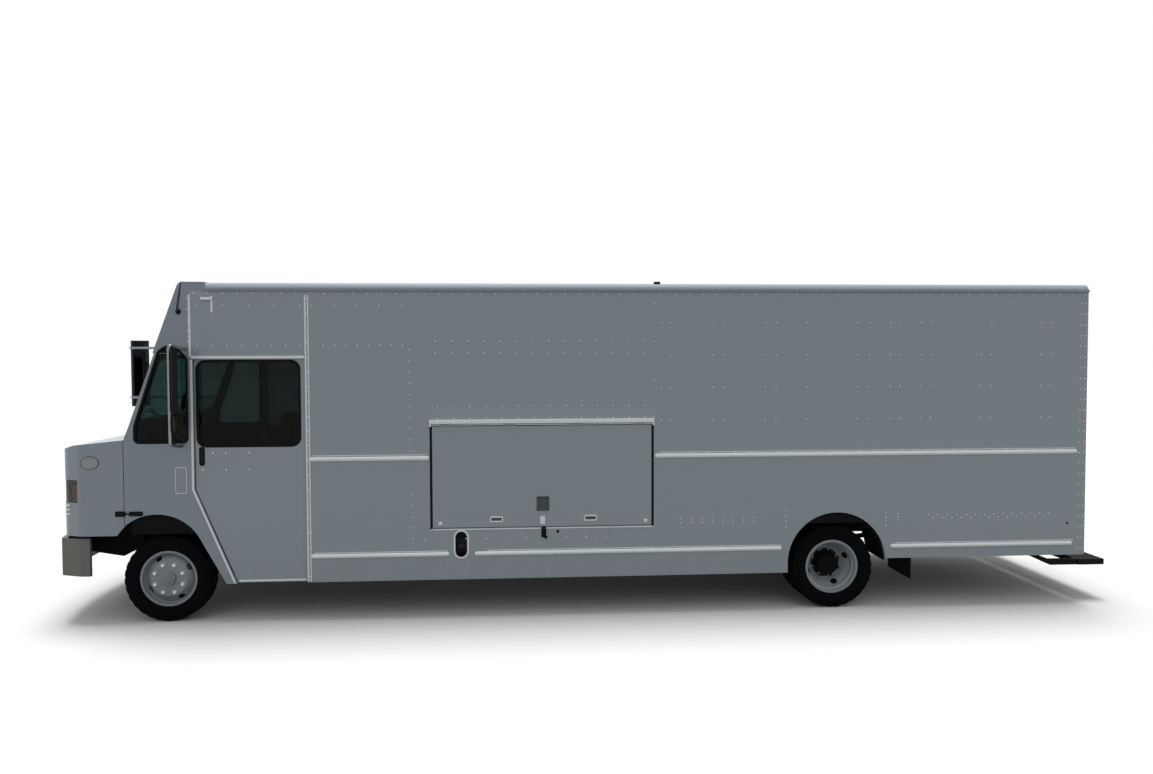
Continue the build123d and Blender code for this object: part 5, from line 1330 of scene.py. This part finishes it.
# catches between nose and cab: piece, body, and the centre and size of a block and of its tongue
CATCHES = [
    ("nose_catch", "nose", (-0.392, 1.041), (0.092, 0.016, 0.050), (-0.350, 1.042), (0.030, 0.008, 0.014)),
    ("nose_catch_keeper", "body", (-0.250, 1.041), (0.118, 0.016, 0.044), (-0.317, 1.041), (0.024, 0.008, 0.014)),
]
CATCH_RADIUS = 0.007  # rounding of a catch's edges
NOSE_RIBS = ((1.118, 1.078, 1.038), (-0.945, -0.925, -0.905, -0.885, -0.865))  # heights, and stations along each
# mirror head: station, Y and height of its centre, turn in degrees, height of its glass
MIRROR_FACES = {"near": ((0.186, -1.4195, 2.280), 24.0, 0.532), "far": ((-1.245, 1.4283, 2.295), -40.0, 0.762)}
MIRROR_ACROSS = 0.176
ROUND_MIRROR = [(0.0, 0.030), (0.006, 0.066), (0.022, 0.088), (0.040, 0.092), (0.046, 0.090)]
ROUND_GLASS = [(0.0, 0.086), (0.0035, 0.070), (0.006, 0.045), (0.0075, 0.015)]
AERIAL = [(0.191, 3.190, -0.004), (0.158, 2.950, 0.016), (0.163, 2.925, 0.018)]  # stations, heights, distances out
AERIAL_BASE = [(0.0, 0.026), (0.010, 0.024), (0.022, 0.016), (0.030, 0.008)]
BRACKET = (0.466, 2.985)  # station and height of a marker lamp's bracket
SIDE_PANEL = (0.162, 1.346)  # station and height of the small panel on the cab's side
UP = Vector((0, 0, 1))


class VAN_OT_nose_trim(bpy.types.Operator):
    """Build the bare oval plates, ribs and catches of the nose"""

    bl_idname = "van.nose_trim"
    bl_label = "Nose Trim"

    def execute(self, context):
        for side_name, side in SIDES.items():
            inward = (0, -side, 0)
            centre, facing = touch("hood", (at(PLATE_SPOT[0]), side * CLEAR_Y, PLATE_SPOT[1]), inward)
            along = (Vector((1, 0, 0)) - facing * facing.x).normalized()
            across, up = along * PLATE_HALF[0], facing.cross(along) * PLATE_HALF[1]
            for name, finish, rows, solid in (
                ("nose_plate", "badge_metal", PLATE, True), ("nose_plate_rim", "latch_plastic", PLATE_RIM, False),
            ):
                with Piece(f"{name}_{side_name}", finish, "nose", sharp=50) as plate:
                    rings = [circle(centre + facing * rise, across, up, share, 40) for share, rise in rows]
                    stitch(plate, rings, caps=solid)
            with Piece(f"nose_ribs_{side_name}", "trim_metal", "nose", sharp=60) as ribs:
                heights, stations = NOSE_RIBS
                for z in heights:
                    starts = [(at(station), side * CLEAR_Y, z) for station in stations]
                    add_tube(ribs, [touch("hood", start, inward)[0] for start in starts], 0.0075, 8)
            for name, body, block, block_size, tongue, tongue_size in CATCHES:
                with Piece(f"{name}_{side_name}", "rubber", body) as catch:
                    add_block(catch, beside(side, *block, 0.007), block_size, CATCH_RADIUS, segments=3)
                    add_block(catch, beside(side, *tongue, 0.010), tongue_size, 0.003)
        return {"FINISHED"}


def facing_rearward(turn):
    """The way a mirror's glass faces, from its turn in degrees."""
    return Vector((math.cos(math.radians(turn)), math.sin(math.radians(turn)), 0))


class VAN_OT_mirror_glass(bpy.types.Operator):
    """Build the glass of the mirrors and the round wide-view mirror"""

    bl_idname = "van.mirror_glass"
    bl_label = "Mirror Glass"

    def execute(self, context):
        for name, ((station, y, z), turn, tall) in MIRROR_FACES.items():
            facing = facing_rearward(turn)
            along = Vector((-facing.y, facing.x, 0))
            middle = Vector((at(station), y, z)) + facing * 0.025
            outline = rounded_box(0, 0, MIRROR_ACROSS, tall, 0.020, 5)
            with Piece(f"mirror_glass_{name}", "mirror_glass", sharp=25) as shape:
                rings = [
                    [middle + (along * p.x + UP * p.y) * share + facing * out for p in outline]
                    for share, out in ((1.0, -0.002), (1.0, 0.0008), (0.985, 0.0014))
                ]
                stitch(shape, rings, caps=True)
        (station, y, _), turn, _ = MIRROR_FACES["near"]
        facing, middle = facing_rearward(turn), Vector((at(station), y, 1.895))
        with Piece("round_mirror", "black_plastic") as bowl:
            add_turned(bowl, middle - facing * 0.022, facing, ROUND_MIRROR, 36)
            add_tube(bowl, [middle - facing * 0.020, middle - facing * 0.040], 0.012)
        with Piece("round_mirror_glass", "mirror_glass", sharp=60) as face:
            add_turned(face, middle + facing * 0.0235, facing, ROUND_GLASS, 36)
        return {"FINISHED"}


class VAN_OT_cab_trim(bpy.types.Operator):
    """Build the aerial, marker brackets, side panels and roof cap"""

    bl_idname = "van.cab_trim"
    bl_label = "Cab Trim"

    def execute(self, context):
        with Piece("aerial", "black_plastic") as rod:
            add_tube(rod, [beside(-1, *spot) for spot in AERIAL], 0.0055, 8)
            add_turned(rod, beside(-1, 0.164, 2.917, -0.002), (0, -1, 0), AERIAL_BASE, 20)
        for side_name, side in SIDES.items():
            out = (0, side, 0)
            with Piece(f"marker_bracket_{side_name}", "rail_paint_highlight") as shape:
                add_block(shape, beside(side, 0.422, 3.036, 0.014), (0.100, 0.028, 0.024), 0.005, segments=3)
                add_plate(shape, side, *BRACKET, 0.020, 0.150, 0.0025, 0.003)
                for z in (3.000, 2.960, 2.925):
                    add_dome(shape, beside(side, BRACKET[0], z, 0.0025), out, 0.007, 0.003, 10)
            with Piece(f"cab_side_panel_{side_name}", "cab_paint") as panel:
                add_plate(panel, side, *SIDE_PANEL, 0.094, 0.236, 0.004, 0.010)
                add_dome(panel, beside(side, -0.227, 1.296), out, 0.010, 0.003, 12)
            with Piece(f"cab_side_panel_edge_{side_name}", "rail_paint_highlight") as edge:
                add_frame(edge, side, *SIDE_PANEL, 0.104, 0.246, 0.007, 0.005, 0.012)
        with Piece("roof_cap", "black_plastic") as cap:
            add_block(cap, (at(4.646), -1.150, 3.196), (0.062, 0.050, 0.030), 0.010, segments=3)
        return {"FINISHED"}


# ---------------------------------------------------------------- rear end

LAMP_RIM = [(0.0, 0.064), (0.010, 0.064), (0.015, 0.060), (0.015, 0.056), (0.010, 0.0545)]
DOOR_SEAL = [(0.006, -0.001), (0.005, 0.003), (-0.005, 0.003), (-0.006, -0.001)]
LAMP_SPOTS = [(y, z) for y in (-1.060, 1.060) for z in (0.640, 0.780)]
REAR_DOOR = (0.432, 1.8425, 0.840, 1.847)  # a door seal's middle from the centre, its height, width and length
BAR_Y = 0.090  # the lock bar and the pull from the centre
HEADER_HALF = 1.16  # half length of the strip under the roof's crown
# lock bar's blocks: distance out, offset across, height, size
BAR_BLOCKS = [
    *((0.012, 0.0, z, (0.026, 0.050, 0.036)) for z in (1.000, 1.330, 1.960, 2.700)),
    (0.026, 0.085, 1.330, (0.012, 0.190, 0.028)), (0.014, 0.165, 1.330, (0.026, 0.030, 0.046)),
]
REAR_PULL = [(0.0, 1.120), (0.034, 1.135), (0.034, 1.385), (0.0, 1.400)]  # distances out and heights
TREAD_STUD = [(-0.001, 0.012), (0.002, 0.0115), (0.003, 0.009)]


def behind(out, y, z):
    """A point behind the rear frame's face."""
    return Vector((BODY_REAR_X + out, y, z))


class VAN_OT_rear_trim(bpy.types.Operator):
    """Build the lamp rims, door seals, lock bar, pull and step treads"""

    bl_idname = "van.rear_trim"
    bl_label = "Rear Trim"

    def execute(self, context):
        with Piece("rear_lamp_rims", "rubber") as rims:
            for spot in LAMP_SPOTS:
                add_turned(rims, behind(0.001, *spot), (1, 0, 0), LAMP_RIM, 36, caps=False)
        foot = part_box("rear_frame")[1].z - 0.006
        with Piece("rear_header", "body_paint") as header:
            rows = []
            for y in spread(-HEADER_HALF, HEADER_HALF, 33):
                met = cast("roof", behind(-0.022, y, foot - 0.05), UP)
                top = max(met[0].z + 0.002 if met else foot, foot + 0.004)
                corners = ((-0.030, foot), (-0.030, top), (-0.008, top), (-0.008, foot))
                rows.append([behind(out, y, z) for out, z in corners])
            stitch(header, rows, caps=True)
        reach, *opening = REAR_DOOR
        for side_name, side in SIDES.items():
            door = f"rear_door_{side_name}"
            with Piece(f"{door}_seal", "rubber", door) as seal:
                outline = rounded_box(side * reach, *opening, 0.012, 4)
                add_band(seal, outline, DOOR_SEAL, lambda u, v, h: behind(h, u, v))
            if side_name == "left":
                with Piece(f"{door}_pull", "plated", door) as pull:
                    add_tube(pull, [behind(out, -BAR_Y, z) for out, z in REAR_PULL], 0.009, 10)
                continue
            with Piece(f"{door}_bar", "plated", door) as bar:
                add_tube(bar, [behind(0.018, BAR_Y, z) for z in (0.960, 2.740)], 0.010, 12)
                for out, across, z, size in BAR_BLOCKS:
                    add_block(bar, behind(out, BAR_Y + across, z), size, 0.004)
        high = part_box("rear_step")[1]
        with Piece("step_treads", "frame_paint") as treads:
            for y in spread(-1.02, 1.02, 26):
                for inset in (0.035, 0.075, 0.115):
                    met = cast("rear_step", (high.x - inset, y, high.z + 0.2), -UP)
                    if met and met[1].z > 0.9:
                        add_turned(treads, met[0], UP, TREAD_STUD, 10)
        return {"FINISHED"}


# ---------------------------------------------------------------- inside the cab

SEAT_Y = -0.600
SEAT_STATION = 0.790
SEAT_PAN_Z = 1.262  # height of the pan under the cushion
STAY = [(0.960, SEAT_PAN_Z), (1.000, 1.290), (1.010, 1.420)]  # stations and heights of a stay behind the seat
STAY_OFF = 0.18  # a stay's distance from the seat's middle
# pads of the seat: centre's station and height, half sizes along X, Y and Z, axis that the crown faces along
PADS = {
    "seat_cushion": ((SEAT_STATION, 1.330), (0.240, 0.250, 0.060), 2),
    "seat_back": ((1.010, 1.640), (0.055, 0.240, 0.310), 0),
}
CHANNELS = (0.42, 0.66)  # where the sewn channels run, as shares of the half width and half length
CHANNEL_WIDTH = 0.028
PAD_CUTS = 34
PEDESTAL = [(0.0, 0.150), (0.012, 0.150), (0.030, 0.090), (0.200, 0.080), (0.353, 0.120)]
BINNACLE = (0.110, 0.520, 0.150)
GAUGE_LEAN = math.radians(-22)
# gauges: distance across and up from the binnacle's middle, radius
GAUGES = [
    (-0.085, 0.004, 0.050), (0.085, 0.004, 0.050), (-0.195, 0.015, 0.030), (0.195, 0.015, 0.030), (0.0, 0.020, 0.024),
]


def add_pad(shape, centre, half, face):
    """A crowned pad with pulled-in sides, pinched edges and sewn channels across its face."""
    cube = bmesh.ops.create_cube(shape, size=2.0)["verts"]
    edges = list(dict.fromkeys(edge for vert in cube for edge in vert.link_edges))
    bmesh.ops.subdivide_edges(shape, edges=edges, cuts=PAD_CUTS, use_grid_fill=True)
    first, second = [axis for axis in range(3) if axis != face]
    for vert in shape.verts:
        u, v, w = vert.co[first], vert.co[second], vert.co[face]
        rim = max(abs(u), abs(v))
        pinch = 1.0 - 0.16 * abs(w) ** 4 * (1.0 if rim > 0.999 else rim ** 6)
        corner = 1.0 - 0.10 * (abs(u) * abs(v)) ** 4
        crown = 0.78 + 0.22 * ((1 - u ** 2) * (1 - v ** 2)) ** 0.45
        if w > 0.99 or face == 0 and w < -0.99:
            seams = [math.exp(-(((abs(p) - run) / CHANNEL_WIDTH) ** 2)) for p, run in zip((u, v), CHANNELS)]
            crown -= 0.10 * min(1.0, sum(seams))
        vert.co[first] = u * half[first] * corner * pinch
        vert.co[second] = v * half[second] * corner * pinch
        vert.co[face] = w * half[face] * crown
    bmesh.ops.transform(shape, matrix=Matrix.Translation(centre), verts=shape.verts)


class VAN_OT_seat(bpy.types.Operator):
    """Build the sewn driver's seat and its pedestal"""

    bl_idname = "van.seat"
    bl_label = "Seat"

    def execute(self, context):
        pieces = []
        for name, ((station, z), half, face) in PADS.items():
            made = Piece(name, "seat_vinyl", sharp=70)
            with made as shape:
                add_pad(shape, Vector((at(station), SEAT_Y, z)), half, face)
            piece = made.piece
            pieces.append(piece)
        made = Piece("seat_pedestal", "frame_paint")
        with made as base:
            add_block(base, (at(SEAT_STATION), SEAT_Y, SEAT_PAN_Z), (0.400, 0.400, 0.020), 0.006)
            add_turned(base, (at(SEAT_STATION), SEAT_Y, 0.901), UP, PEDESTAL, 32)
            for side in SIDES.values():
                add_tube(base, [(at(station), SEAT_Y + side * STAY_OFF, z) for station, z in STAY], 0.013)
        pieces.append(made.piece)
        for piece in pieces:
            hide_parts("driver_seat")
        return {"FINISHED"}


class VAN_OT_dash_gauges(bpy.types.Operator):
    """Build the binnacle and its gauges"""

    bl_idname = "van.dash_gauges"
    bl_label = "Dash Gauges"

    def execute(self, context):
        tilt = Matrix.Rotation(GAUGE_LEAN, 3, "Y")
        facing, rise = tilt @ Vector((1, 0, 0)), tilt @ UP
        centre = Vector((at(-0.070), SEAT_Y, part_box("dashboard")[1].z - 0.005))
        with Piece("dash_binnacle", "dash_plastic") as shape:
            add_block(shape, centre, BINNACLE, 0.018, tilt, 3)
        with Piece("dash_gauges", "gauge_face", sharp=30) as dials:
            for y, z, radius in GAUGES:
                spot = centre + facing * 0.0545 + Vector((0, y, 0)) + rise * z
                face = [(0.0, radius), (0.003, radius), (0.004, radius * 0.93), (0.0015, radius * 0.88)]
                add_turned(dials, spot, facing, face, 32)
                needle = spot + facing * 0.004 + rise * (radius * 0.3)
                add_block(dials, needle, (0.001, 0.002, radius * 0.9), 0.0, tilt)
        return {"FINISHED"}


# ---------------------------------------------------------------- stage


def seen(tree):
    """A mask that is one where the camera sees a surface straight, in a reflection or through glass."""
    path = node(tree, "LightPath").outputs
    mirrored = maths(tree, "MAXIMUM", path["Is Glossy Ray"], path["Is Transmission Ray"])
    return maths(tree, "MAXIMUM", path["Is Camera Ray"], mirrored)


class VAN_OT_stage(bpy.types.Operator):
    """Lay the floor and set the lights and the camera"""

    bl_idname = "van.stage"
    bl_label = "Stage"

    def execute(self, context):
        stage, scene = settings()[2], context.scene
        scene.view_settings.view_transform = "Standard"

        floor = bmesh.new()
        bmesh.ops.create_circle(floor, cap_ends=True, cap_tris=False, segments=96, radius=stage.floor_radius)
        mesh = as_mesh("floor_sheet", floor)
        sheet = new_object("floor_sheet", mesh)
        sheet.location.z = -0.0005
        tree, shader = blank("floor_paper")
        tone = mix_colour(tree, seen(tree), rgba([stage.bounce] * 3), rgba([stage.floor] * 3))
        wire(tree, shader, {"Base Color": tone, "Roughness": 0.9, "Specular IOR Level": 0.0})
        mesh.materials.append(FINISHES["floor_paper"])

        world = scene.world = bpy.data.worlds.new("pale_room")
        world.use_nodes = True
        tree = world.node_tree
        strength = graded(tree, seen(tree), 0.0, 1.0, stage.sky, 1.0)
        wire(tree, tree.nodes["Background"], {"Color": (1.0, 1.0, 1.0, 1.0), "Strength": strength})

        sun = bpy.data.lights.new("overhead", "SUN")
        sun.energy = stage.sun
        sun.angle = stage.sun_angle
        new_object("overhead", sun).rotation_euler = (-stage.sun_lean, 0, 0)

        turn, tilt, roll = stage.aim
        ahead = Vector((math.sin(turn) * math.cos(tilt), math.cos(turn) * math.cos(tilt), math.sin(tilt)))
        level = Vector((math.cos(turn), -math.sin(turn), 0))
        right = level * math.cos(roll) + level.cross(ahead) * math.sin(roll)
        turned = Matrix((right, right.cross(ahead), -ahead)).transposed().to_4x4()
        camera = scene.camera = new_object("camera", bpy.data.cameras.new("camera"))
        camera.data.lens = stage.lens
        camera.data.sensor_width = 36.0
        camera.data.clip_end = 300.0
        camera.matrix_world = Matrix.Translation(stage.camera) @ turned
        return {"FINISHED"}


# ---------------------------------------------------------------- add-on

STEPS = [
    VAN_OT_finishes, VAN_OT_tyres, VAN_OT_wheel_nuts, VAN_OT_drums, VAN_OT_hand_holes, VAN_OT_window_rubbers,
    VAN_OT_wipers, VAN_OT_rivets, VAN_OT_doorways, VAN_OT_rail_lips, VAN_OT_arch_liners, VAN_OT_hatch_fittings,
    VAN_OT_nose_trim, VAN_OT_mirror_glass, VAN_OT_cab_trim, VAN_OT_rear_trim, VAN_OT_seat, VAN_OT_dash_gauges,
    VAN_OT_stage,
]


class VAN_PT_dressing(bpy.types.Panel):
    """Lists the pieces of the truck and their settings"""

    bl_label = "Food Truck"
    bl_idname = "VAN_PT_dressing"
    bl_space_type = "VIEW_3D"
    bl_region_type = "UI"
    bl_category = "Food Truck"

    def draw(self, context):
        for step in STEPS:
            self.layout.operator(step.bl_idname)
        for group in settings():
            box = self.layout.box()
            for field in group.bl_rna.properties:
                if not field.is_readonly and field.identifier != "name":
                    box.prop(group, field.identifier)


GROUPS_OF_SETTINGS = {"van_colours": VanColours, "van_trim": VanTrim, "van_stage": VanStage}
CLASSES = [*GROUPS_OF_SETTINGS.values(), *STEPS, VAN_PT_dressing]


def register():
    """Adds the settings, operators and panel to Blender."""
    for cls in CLASSES:
        bpy.utils.register_class(cls)
    for name, cls in GROUPS_OF_SETTINGS.items():
        setattr(bpy.types.Scene, name, PointerProperty(type=cls))


def unregister():
    """Takes them away again."""
    for name in GROUPS_OF_SETTINGS:
        delattr(bpy.types.Scene, name)
    for cls in reversed(CLASSES):
        bpy.utils.unregister_class(cls)


def main():
    """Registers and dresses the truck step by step."""
    register()
    for step in STEPS:
        group, name = step.bl_idname.split(".")
        getattr(getattr(bpy.ops, group), name)()


if __name__ == "__main__":
    main()
